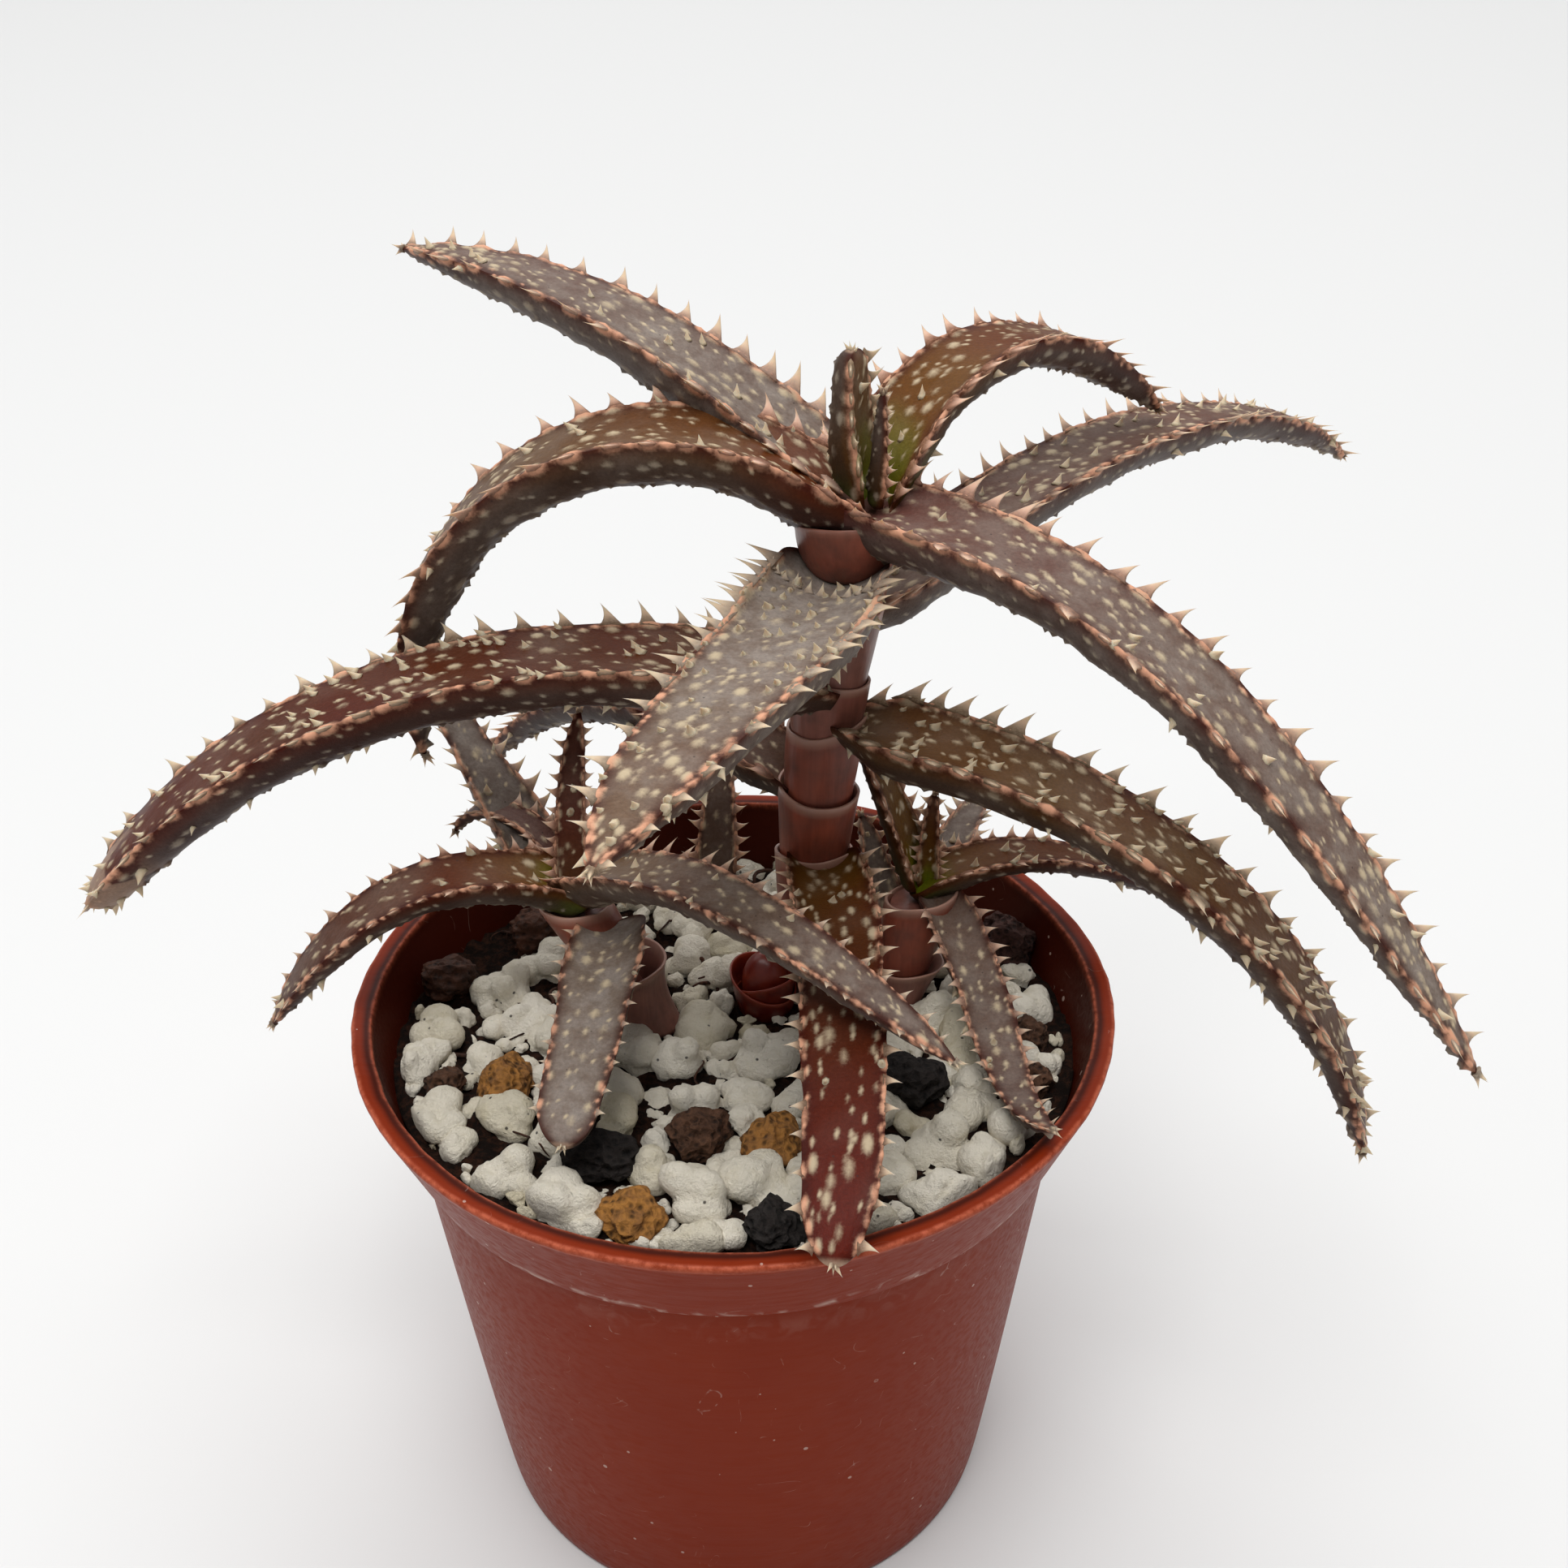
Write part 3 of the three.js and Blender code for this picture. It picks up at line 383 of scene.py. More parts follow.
class Finish:
    """A material in the making: its node tree, its shader and its object coordinates, with a short way
    to each node that the finishes share. An input takes a value or another node's socket."""

    def __init__(self, name):
        self.material = bpy.data.materials.new(name)
        self.material.use_nodes = True
        self.tree = self.material.node_tree
        self.shader = self.tree.nodes["Principled BSDF"]
        self.where = self.add("ShaderNodeTexCoord").outputs["Object"]

    def fill(self, node, inputs):
        for key, value in inputs.items():
            if isinstance(value, bpy.types.NodeSocket):
                self.tree.links.new(value, node.inputs[key])
            else:
                node.inputs[key].default_value = value

    def add(self, kind, inputs=None, **settings):
        node = self.tree.nodes.new(kind)
        for name, value in settings.items():
            setattr(node, name, value)
        self.fill(node, inputs or {})
        return node

    def read(self, name):
        """A value that the mesh holds at its corners."""
        return self.add("ShaderNodeAttribute", attribute_name=name).outputs["Fac"]

    def noise(self, size, detail, roughness=0.5, distortion=0.0, where=None):
        """Noise whose largest features are about size wide."""
        where = self.where if where is None else where
        return self.add("ShaderNodeTexNoise",
                        {"Vector": where, "Scale": per(size), "Detail": detail, "Roughness": roughness,
                         "Distortion": distortion}).outputs["Fac"]

    def dots(self, spacing):
        """Distances from points scattered about spacing apart, as shares of the spacing."""
        return self.add("ShaderNodeTexVoronoi",
                        {"Vector": self.where, "Scale": per(spacing)}).outputs["Distance"]

    def stretched(self, scale, rotation=(0, 0, 0)):
        """The object coordinates, scaled and turned."""
        return self.add("ShaderNodeMapping",
                        {"Vector": self.where, "Rotation": rotation, "Scale": scale}).outputs[0]

    def mixed(self, share, first, second, kind="MIX"):
        return self.add("ShaderNodeMix", {0: share, 6: first, 7: second}, data_type="RGBA",
                        blend_type=kind).outputs[2]

    def ranged(self, value, low, high, first=0.0, last=1.0, kind="LINEAR"):
        """Takes the stretch from low to high to that from first to last, and stops at its ends."""
        return self.add("ShaderNodeMapRange",
                        {"Value": value, "From Min": low, "From Max": high, "To Min": first,
                         "To Max": last}, interpolation_type=kind).outputs[0]

    def eased(self, value, low, high, first=0.0, last=1.0):
        """The same, but leaves and reaches the ends softly."""
        return self.ranged(value, low, high, first, last, "SMOOTHSTEP")

    def reckoned(self, kind, first, second=0.0, clamp=False):
        return self.add("ShaderNodeMath", {0: first, 1: second}, operation=kind,
                        use_clamp=clamp).outputs[0]

    def times(self, first, second, clamp=False):
        return self.reckoned("MULTIPLY", first, second, clamp)

    def plus(self, first, second, clamp=False):
        return self.reckoned("ADD", first, second, clamp)

    def done(self, colour, height, strength, depth, inputs):
        """The finished material: its colour, a bump from a height with its strength and its depth in
        millimetres, and the shader's other inputs."""
        bump = self.add("ShaderNodeBump", {"Height": height, "Strength": strength, "Distance": depth * MM})
        self.fill(self.shader, {"Base Color": colour, "Normal": bump.outputs[0], **inputs})
        return self.material


def leaf_skin(look):
    """Aloe cuticle: waxy and a little translucent, brown to red where the sun reached it, green where
    young, with a grey bloom that dulls it. Raised cream spots sit in it, salmon along the margins.
    Towards a tooth's point, by its horn value, it turns into pale translucent horn with an amber end."""
    skin = Finish("aloe leaf, waxy cuticle and horny teeth")
    bloomy, reddish, greenish, margin, under, spot, dry, horn = (
        skin.read(name) for name in ("bloom", "red", "green", "margin", "under", "spot", "dry", "horn"))
    # blotches of the tissue about 1.8 mm wide, and its cells about 0.3 mm wide
    mottle = skin.noise(1.8, 4, 0.6)
    cells = skin.noise(0.3, 3, 0.7)
    olive = skin.mixed(skin.ranged(greenish, 0, 0.7), look.brown, look.olive)
    green = skin.mixed(skin.eased(greenish, 0.78, 1), olive, look.green)
    red = skin.mixed(reddish, green, look.red)
    # painted shade: the underside is mixed towards the dark keel colour
    shaded = skin.mixed(skin.times(under, 0.72), red, look.underside)
    edged = skin.mixed(skin.times(margin, 0.85), shaded, look.margin)
    # bloom lies thicker on some patches than on others
    bloom = skin.times(bloomy, skin.eased(mottle, 0.3, 0.7, 0.6, 1.15), True)
    bloomed = skin.mixed(bloom, edged, look.bloom)
    celled = skin.mixed(1, bloomed, skin.ranged(cells, 0.3, 0.7, 0.82, 1.14), "MULTIPLY")
    # pores that show as dark dots a tenth of a millimetre wide, about 1.3 mm apart
    pored = skin.mixed(skin.eased(skin.dots(1.3), 0.04, 0.08, 0.6, 0), celled, look.underside)
    # painted shade: spots on the underside are duller
    pale = skin.mixed(under, look.spot, look.under_spot)
    spot_colour = skin.mixed(skin.eased(margin, 0.25, 0.8), pale, look.margin_spot)
    ragged = skin.ranged(cells, 0.25, 0.75, -0.12, 0.12)
    spotting = skin.eased(skin.plus(spot, ragged), 0.05, 0.9, 0, 0.9)
    spotted = skin.mixed(spotting, pored, spot_colour)
    rosy = skin.times(margin, skin.eased(bloomy, 0.2, 0.9, 1, 0.35))
    tooth = skin.mixed(rosy, look.face_tooth, look.tooth)
    turned = skin.mixed(skin.eased(horn, 0.1, 0.6), spotted, tooth)
    point = skin.times(skin.eased(horn, 0.6, 1, 0, 0.75), margin)
    toothed = skin.mixed(point, turned, look.tooth_point)
    crusted = skin.plus(dry, skin.times(ragged, skin.eased(dry, 0, 0.3)), True)
    dried = skin.mixed(crusted, toothed, look.dry)
    return skin.done(dried, skin.plus(cells, mottle), 0.35, 0.12, {
        "Roughness": skin.eased(bloom, 0, 1, look.gloss, look.gloss + 0.2), "IOR": 1.45,
        "Specular IOR Level": 0.1, "Subsurface Weight": skin.eased(horn, 0, 0.7, 0.06, 0.45),
        "Subsurface Radius": (1, 0.65, 0.45), "Subsurface Scale": 0.6 * MM})


def sheath_skin(look):
    """Dried and living leaf sheaths: satin, mauve to red-brown, with fine veins up the stem and thin
    pale lips."""
    skin = Finish("leaf sheath, satin skin")
    # veins about 0.4 mm apart and many times as long
    veins = skin.noise(0.4, 2, where=skin.stretched((1, 1, 0.08)))
    reddened = skin.mixed(skin.read("red"), look.mauve, look.red)
    patches = skin.ranged(skin.noise(2.5, 3), 0.35, 0.68, 0, 0.6)
    clouded = skin.mixed(patches, reddened, look.shade)
    veined = skin.mixed(1, clouded, skin.ranged(veins, 0.3, 0.7, 0.88, 1.12), "MULTIPLY")
    lipped = skin.mixed(skin.read("lip"), veined, look.lip)
    return skin.done(lipped, veins, 0.4, 0.08, {
        "Roughness": 0.38, "IOR": 1.45, "Subsurface Weight": 0.08, "Subsurface Radius": (1, 0.4, 0.3),
        "Subsurface Scale": 0.5 * MM})


def porous(name, body, dark, pore, roughness, relief):
    """Expanded or volcanic grit: chalky or glassy froth, dull all over, with open pores darkened towards
    their middles as painted shade, and a colour that changes from grain to grain."""
    grit = Finish(name)
    clouds = grit.noise(1.4, 5, 0.65)
    pores = grit.dots(pore)
    stain = grit.plus(grit.ranged(clouds, 0.42, 0.72, 0, 0.6), grit.read("tint"), True)
    stained = grit.mixed(stain, body, dark)
    # painted shade: each pore is darkened towards its middle
    pore_shaded = grit.mixed(0.85, stained, grit.ranged(pores, 0.15, 0.45, 0.25, 1.25), "MULTIPLY")
    return grit.done(pore_shaded, grit.plus(pores, clouds), 1, relief,
                     {"Roughness": roughness, "Specular IOR Level": 0.25})


def perlite_skin(look):
    """Perlite: white volcanic glass blown up by heat. It is chalky, matt and bright, stained cream
    where watered, with a few dark specks of unexpanded glass."""
    chalk = Finish("expanded perlite")
    clouds = chalk.noise(1.6, 4, 0.6)
    crumbs = chalk.noise(0.5, 5, 0.75)
    stain = chalk.plus(chalk.ranged(clouds, 0.5, 0.75, 0, 0.35), chalk.read("tint"), True)
    stained = chalk.mixed(stain, look.perlite, look.perlite_stain)
    # specks 0.2 mm wide, about 2 mm apart
    specked = chalk.mixed(chalk.ranged(chalk.dots(1.9), 0.05, 0.09, 0.85, 0), stained, look.soil)
    return chalk.done(specked, chalk.plus(crumbs, clouds), 1, 0.55,
                      {"Roughness": 0.95, "Specular IOR Level": 0.2})


def peat(look):
    """Moist peat and bark dust: near black-brown crumbs with lighter fibres."""
    soil = Finish("peat and bark dust")
    crumbs = soil.noise(0.9, 6, 0.75)
    colour = soil.mixed(soil.ranged(crumbs, 0.45, 0.8), look.soil, look.bark)
    return soil.done(colour, crumbs, 1, 0.6, {"Roughness": 0.9, "Specular IOR Level": 0.1})


def pot_plastic(look):
    """Polypropylene, injection moulded: satin terracotta, rubbed pale along the rim, whose edges also
    carry a painted highlight, with a chalky tide mark under the collar, dust, and fine scratches.
    Its inner wall is darkened nearly to black as painted shade."""
    plastic = Finish("moulded polypropylene, terracotta")
    clouds = plastic.noise(9, 5, 0.6)
    fine = plastic.noise(0.7, 5, 0.7)
    base = plastic.mixed(plastic.ranged(clouds, 0.35, 0.7, 0, 0.5), look.colour, look.faded)
    # painted shade: the inner wall below the rim is darkened nearly to black
    shade_darkened = plastic.mixed(plastic.times(plastic.read("inside"), 0.85), base, look.inside)
    # dust: chalky specks 0.15 to 0.4 mm wide, drawn a little coarse so that they show
    dust = plastic.reckoned("LESS_THAN", plastic.dots(2.6), plastic.ranged(clouds, 0.45, 0.62, 0.03, 0.1))
    # the tide mark breaks up into threads
    threads = plastic.noise(2.2, 4, distortion=1.2)
    tide = plastic.times(plastic.read("tide"), plastic.ranged(threads, 0.47, 0.62))
    # curved scratches 0.1 mm wide: one level line of a coarse noise, kept where a finer one is high
    level = plastic.reckoned("SUBTRACT", plastic.noise(11, 1, distortion=2.5), 0.55)
    hair = plastic.ranged(plastic.reckoned("ABSOLUTE", level), 0.001, 0.003, 1, 0)
    scratch = plastic.times(hair, plastic.ranged(threads, 0.54, 0.62, 0, 0.45))
    chalk = plastic.reckoned("MAXIMUM", tide, plastic.reckoned("MAXIMUM", scratch, dust))
    marked = plastic.mixed(plastic.times(chalk, 0.6), shade_darkened, look.chalk)
    # painted highlight on the rim's outer and inner edges, broken up by fine noise like wear
    scuff_and_highlight = plastic.times(plastic.read("rim"), plastic.ranged(fine, 0.36, 0.6, 0.25, 1), True)
    scuffed_and_highlit = plastic.mixed(scuff_and_highlight, marked, look.scuff_and_highlight)
    # wear shows as long thin streaks that are less glossy
    streaks = plastic.noise(0.5, 3, where=plastic.stretched((0.05, 1, 1), (0.3, 0.5, 0.2)))
    sheen = plastic.ranged(streaks, 0.4, 0.7, look.gloss, look.gloss + 0.16)
    return plastic.done(scuffed_and_highlit, plastic.plus(fine, streaks), 0.25, 0.06,
                        {"Roughness": sheen, "IOR": 1.49, "Specular IOR Level": 0.08})


def bud_skin(look):
    """A fleshy bud of young scales: waxy wine red, lighter and orange where it is thin."""
    skin = Finish("bud scale, waxy wine red")
    clouds = skin.noise(1.2, 3)
    body = skin.mixed(skin.ranged(clouds, 0.4, 0.75, 0, 0.5), look.bud, look.bud_light)
    lipped = skin.mixed(skin.read("lip"), body, look.bud_light)
    return skin.done(lipped, clouds, 0.3, 0.1, {
        "Roughness": 0.35, "Subsurface Weight": 0.15, "Subsurface Radius": (1, 0.3, 0.2),
        "Subsurface Scale": 0.8 * MM})


# Leaves

def directions(leaf, t):
    """A midline's along, side and up directions at shares t of the leaf's length. Its heading and its
    pitch are each the blend of three values; side is level, to the left, and up is along x side."""
    heading, pitch = (np.radians(blend(values, t)) for values in (leaf.heading, leaf.pitch))
    along = np.stack([np.cos(heading) * np.cos(pitch), np.sin(heading) * np.cos(pitch), np.sin(pitch)], 1)
    side = np.stack([-np.sin(heading), np.cos(heading), np.zeros_like(heading)], 1)
    return along, side, np.cross(along, side)


# A blade's bare skin as rings round its midline: their distances from its base, their points, the
# midline's directions at each ring, and the skin's outward normals
Blade = namedtuple("Blade", "distance rings along side up normal")


def length_share(leaf, distance):
    """Distances from a leaf's base as shares of its length."""
    return np.clip(distance / leaf.length, 0, 1)


def midline(leaf, distance):
    """Points of a leaf's midline, and its directions, at distances from its base: the base plus the
    running sum of the along direction in 480 steps. Behind the base it runs straight back."""
    steps = 480
    t = np.linspace(0, 1, steps + 1)
    along = directions(leaf, t)[0]
    moves = (along[1:] + along[:-1]) * 0.5 * leaf.length / steps
    points = np.array(leaf.base) + np.vstack([np.zeros(3), np.cumsum(moves, axis=0)])
    share = length_share(leaf, distance)
    centre = np.stack([np.interp(share, t, points[:, k]) for k in range(3)], 1)
    along, side, up = directions(leaf, share)
    return centre + along * np.minimum(distance, 0)[:, None], along, side, up


def blade_width(leaf, distance):
    """A blade's width at distances from its base: a straight taper, times a tip that closes late as
    (1 - t^6)^0.8, or (1 - t^16)^0.5 where blunt, times a neck that widens from the base, and a foot
    that rounds off behind it as the root of 1 - x^2."""
    t = length_share(leaf, distance)
    closing = (1 - t ** 16) ** 0.5 if leaf.blunt else (1 - t ** 6) ** 0.8
    clasp = leaf.neck + (1 - leaf.neck) * smooth(distance, 0, 0.6 * leaf.width)
    foot = np.sqrt(1 - np.clip(-distance / (leaf.foot * leaf.width), 0, 1) ** 2)
    return leaf.width * (1 - leaf.taper * t) * closing * clasp * foot


def ring_distances(leaf):
    """Where a blade's rings lie: every third of a millimetre, or quarter on a narrow leaf, and closer
    and closer towards the ends."""
    step = 0.33 if leaf.width > 4 else 0.25
    foot, tip = leaf.foot * leaf.width, 1.5
    return np.concatenate([-foot * np.array([0.98, 0.9]), np.arange(-0.8 * foot, leaf.length - tip, step),
                           leaf.length - tip * 0.8 ** np.arange(1, 16)])


def bare_blade(leaf, look, rng):
    """A blade without its spots. Round each ring the angle runs from the left margin over the face and
    back below. Across is half the width times its cosine. Below, depth is the thickness times its sine;
    above, the middle dips near the base and swells near the tip, as the sine squared. The foot's margins
    rise round the stem, and all of it waves a little."""
    distance = ring_distances(leaf)
    angle = turns(int(np.clip(7.8 * leaf.width, 36, 80)) // 4 * 4)
    centre, along, side, up = midline(leaf, distance)
    width = blade_width(leaf, distance)[:, None]
    thick = width * look.thickness
    t = length_share(leaf, distance)[:, None]
    rise, across = np.sin(angle)[None], np.cos(angle)[None]
    face = (0.34 * t - 0.2) * rise ** 2
    height = thick * (0.3 + np.where(rise > 0, face, rise))
    clasp = np.exp(-(np.maximum(distance, 0)[:, None] / 4) ** 2) * smooth(leaf.width, 3, 6)
    height = height + 0.16 * width * across ** 2 * clasp
    rings = (centre[:, None] + side[:, None] * (across * width / 2)[..., None]
             + up[:, None] * height[..., None])
    wave = waves(rings, 9, rng) * 0.16 + waves(rings, 4, rng) * 0.07
    out = unit(rings - (centre + up * 0.1 * thick)[:, None])
    rings = rings + out * (wave * smooth(width, 0.5, 4))[..., None]
    return Blade(distance, rings, along, side, up, normals(rings, rings.mean(axis=1)))


def column_at(blade, angle):
    """The nearest point of a ring to each angle round it."""
    sides = blade.rings.shape[1]
    return np.round(angle / TURN * sides).astype(int) % sides


def normals(rings, centre):
    """Outward normals of a skin of rings: the cross product of its two grid slopes, turned from the
    midline."""
    down = np.gradient(rings, axis=0)
    around = np.roll(rings, -1, axis=1) - np.roll(rings, 1, axis=1)
    normal = unit(np.cross(around, down))
    facing = np.sign(np.einsum("ijk,ijk->ij", normal, rings - centre[:, None]).sum())
    return normal * facing


def margin_stops(leaf, look, rng):
    """Distances of one margin's teeth from the base: they start a quarter of the width out, or at once
    where they are combed, and each step is the full spacing, which grows with the leaf's width, cut down
    near the foot and varied by a sixth."""
    spacing = look.tooth_spacing / MM * min(1, 0.16 + 0.088 * leaf.width)
    stops, reached = [], 0.4 * spacing if leaf.comb < 0.5 else 0.25 * leaf.width
    while reached < leaf.length - 0.6:
        stops.append(reached)
        near = leaf.comb + (1 - leaf.comb) * float(smooth(reached, 0.3 * leaf.width, 2 * leaf.width))
        reached += spacing * near * rng.uniform(0.84, 1.16)
    return np.array(stops)


def scattered_spots(leaf, look, blade, rng):
    """Spots on both faces as rows of ring, column and radius: thrown at random, kept apart by their
    radii, and kept more often where a slow wave along the leaf says that a band lies, and near the base."""
    wanted = int(leaf.length * leaf.width * look.spots_per_area)
    throws = wanted * 5
    distance = rng.uniform(0.3, leaf.length - 1, throws)
    angle = rng.uniform(0, TURN, throws)
    radius = (0.19 + 0.34 * rng.uniform(size=throws) ** 1.7) * (0.6 + 0.045 * leaf.width)
    phase = rng.uniform(0, TURN)
    band = 0.5 + 0.5 * np.sin(TURN * distance / (0.6 * leaf.width) + phase + 0.8 * np.cos(angle))
    likely = (0.35 + 0.65 * band) * (1 - 0.5 * distance / leaf.length)
    fit = (rng.uniform(size=throws) < likely) & (np.abs(np.sin(angle)) > 0.17)
    # the two faces lie far apart on one plane, so that only neighbours on the same face count
    across = np.cos(angle) * leaf.width / 2 + np.where(np.sin(angle) > 0, 0, 100)
    places = np.stack([distance, across], 1)[fit]
    radius = radius[fit]
    kept = np.zeros(len(places), bool)
    for index, here in enumerate(places):
        near = np.hypot(*(places[:index][kept[:index]] - here).T)
        kept[index] = bool(np.all(near > 1.35 * (radius[index] + radius[:index][kept[:index]])))
    rows = np.searchsorted(blade.distance, distance[fit][kept])
    return np.stack([rows, column_at(blade, angle[fit][kept]), radius[kept]], 1)[:wanted]


def underside_knobs(leaf, look, blade, rng):
    """Rows of low knobs along the keel, half a millimetre wide, where the underside is roughest."""
    count = int(leaf.length * look.knobs_per_length)
    stops = np.sort(rng.uniform(0.5, leaf.length - 1, count))
    angle = 1.5 * math.pi + rng.normal(0, 0.33, count)
    rows = np.minimum(np.searchsorted(blade.distance, stops), len(blade.distance) - 1)
    radius = rng.uniform(0.24, 0.42, count) * (0.6 + 0.04 * leaf.width)
    return np.stack([rows, column_at(blade, angle), radius], 1)


def paint_spots(blade, spots, stretch, lift, field, raised):
    """Marks spots into a field and a height over the grid. A spot's value falls from 1 at its middle to
    0 at its edge, an ellipse stretched along the leaf; every fourth is the faintest, at about half.
    The height follows the value's square."""
    for index, (row, column, radius) in enumerate(spots):
        row, column, strength = int(row), int(column), 1 - 0.15 * (index % 4)
        middle, reach = blade.distance[row], radius * stretch * 1.3
        low, high = np.searchsorted(blade.distance, (middle - reach, middle + reach))
        away = blade.rings[low:high] - blade.rings[row, column]
        onward = away @ blade.along[row]
        aside = np.sqrt(np.maximum((away ** 2).sum(-1) - onward ** 2, 0))
        value = np.clip(1.3 - np.hypot(onward / (radius * stretch), aside / radius), 0, 1)
        field[low:high] = np.maximum(field[low:high], value * strength)
        raised[low:high] += lift * radius * value ** 2


def thorns(roots, outward, forward, length, root_half, hook, flat=0.3, power=1.5, sides=8, count=7):
    """Hooked thorns as (thorns, rings, sides, 3) with their two ends and the share of their height.
    The half width falls by the power to the point and flares at the root, an eighth of the length below
    the skin; the section is an ellipse. The axis leans forward as the share to the 1.8th."""
    share = np.linspace(0, 0.93, count)
    across = unit(np.cross(outward, forward))
    forward = unit(np.cross(across, outward))
    half = root_half[:, None] * (0.85 * (1 - share) ** power + 0.12 * (1 - share)
                                 + 0.3 * np.exp(-share / 0.1))

    def axis(at):
        lean = hook * at ** 1.8
        return (roots[:, None] + outward[:, None] * (length[:, None] * (at * 1.12 - 0.12))[..., None]
                + forward[:, None] * (length[:, None] * lean)[..., None])

    turn = turns(sides)
    broad = half[..., None] * np.cos(turn)
    thin = flat * half[..., None] * np.sin(turn) * (1 - 0.3 * share[None, :, None])
    rings = (axis(share[None])[:, :, None] + forward[:, None, None] * broad[..., None]
             + across[:, None, None] * thin[..., None])
    ends = axis(np.array([[0.0, 1.0]]))
    height = np.broadcast_to(share[None, :, None], rings.shape[:3])
    return rings, ends[:, 0] - outward * 0.05, ends[:, 1], height


def tones_at(leaf, t):
    """A leaf's bloom, red and green at shares t of its length, straight between their stations."""
    return {name: np.interp(t, TONE_STATIONS, getattr(leaf, name)) for name in ("bloom", "red", "green")}


def add_thorns(shells, leaf, thorn, t, margin, reach=1.0, spot=0.35):
    """Adds thorns to a leaf's skins with the leaf's own tones at their roots, which turn to horn as far
    up as the reach says."""
    grid, low, high, height = thorn
    tones = {name: value[:, None, None] for name, value in tones_at(leaf, t).items()}
    shells.add(grid, low, high, horn=np.minimum(height * reach, 1), margin=margin, spot=spot, **tones)


def margin_teeth(shells, leaf, look, blade, rng):
    """Teeth along both margins, hooked towards the tip and tilted towards the face. Returns the blotches
    at their roots and between them."""
    blotches = []
    for sign, column in ((1, 0), (-1, blade.rings.shape[1] // 2)):
        stops = margin_stops(leaf, look, rng)
        rows = np.searchsorted(blade.distance, stops)
        t = stops / leaf.length
        scale = leaf.teeth * look.tooth_length / MM * np.clip(0.42 + 0.065 * leaf.width, 0.5, 1)
        length = scale * (1 - 0.3 * t) * rng.uniform(0.74, 1.16, len(stops))
        tilt = rng.uniform(0.3, 0.85, (len(stops), 1))
        outward = unit(blade.side[rows] * sign + blade.up[rows] * tilt)
        half = length * rng.uniform(0.36, 0.46, len(stops))
        teeth = thorns(blade.rings[rows, column], outward, blade.along[rows], length, half, look.hook)
        add_thorns(shells, leaf, teeth, t, leaf.rosy * (1 - 0.55 * t)[:, None, None])
        blotches += [(row, column, 0.33 * size) for row, size in zip(rows, length)]
        between = ((rows[1:] + rows[:-1]) / 2).astype(int)
        blotches += [(row, column, 0.22 * size * rng.uniform(0.6, 1.2))
                     for row, size in zip(between, length) if rng.uniform() < 0.5]
    return np.array(blotches)


def foot_teeth(shells, leaf, look, blade, rng):
    """A row of small teeth across a combed leaf's foot, where its face meets the crown."""
    columns = np.arange(3, blade.rings.shape[1] // 2 - 2, 3)
    count = len(columns)
    row = np.searchsorted(blade.distance, 0.19 * leaf.width)
    up, along = (np.repeat(way[row:row + 1], count, 0) for way in (blade.up, blade.along))
    outward = unit(up - along * rng.uniform(0.2, 0.9, (count, 1)))
    length = look.tooth_length / MM * rng.uniform(0.32, 0.52, count)
    across = unit(np.cross(outward, along))
    teeth = thorns(blade.rings[row, columns], outward, across, length, length * 0.45, 0.1, 0.4)
    add_thorns(shells, leaf, teeth, np.zeros(count), 0.4)


def tip_teeth(shells, leaf, look, blade, rng):
    """A few small teeth round the tip that point onward."""
    count = rng.integers(3, 6)
    turn = turns(count) + rng.uniform(0, TURN)
    last = len(blade.distance) - 1 - rng.integers(3, 9, count)
    spread = blade.side[last] * np.cos(turn)[:, None] + blade.up[last] * np.sin(turn)[:, None]
    roots = blade.rings[last].mean(axis=1) + spread * 0.12
    outward = unit(blade.along[last] + spread * rng.uniform(0.25, 0.8, (count, 1)))
    length = look.tooth_length / MM * rng.uniform(0.3, 0.52, count) * (0.6 + 0.04 * leaf.width)
    teeth = thorns(roots, outward, spread, length, length * 0.34, 0.05, flat=0.8)
    add_thorns(shells, leaf, teeth, np.ones(count), 0.3 * leaf.rosy)


def face_prickles(shells, leaf, look, blade, spots, rng):
    """Small prickles on a share of the spots, like tents that lean towards the tip, and on more of them
    where the teeth are combed."""
    rows, columns = spots[:, 0].astype(int), spots[:, 1].astype(int)
    rise = np.sin(columns / blade.rings.shape[1] * TURN)
    near_foot = np.exp(-(blade.distance[rows] / 12) ** 2)
    share = leaf.prickly * look.prickled + 1.2 * (0.75 - leaf.comb) * near_foot
    keep = rng.uniform(size=len(spots)) < np.where(rise > 0, share, 0.5 * share)
    rows, columns, radius = rows[keep], columns[keep], spots[keep, 2]
    if not len(rows):
        return
    out, along = blade.normal[rows, columns], blade.along[rows]
    outward = unit(out + along * rng.uniform(0.1, 0.5, (len(rows), 1)))
    length = (0.6 + 0.9 * radius) * rng.uniform(0.7, 1.15, len(rows))
    broad = unit(unit(np.cross(out, along)) * rng.uniform(-0.7, 0.7, (len(rows), 1)) + along)
    prickles = thorns(blade.rings[rows, columns], outward, broad, length, length * 0.5, 0.25, 0.8, 1.05, 7, 6)
    add_thorns(shells, leaf, prickles, blade.distance[rows] / leaf.length, 0.0, 2.4, 0.9)


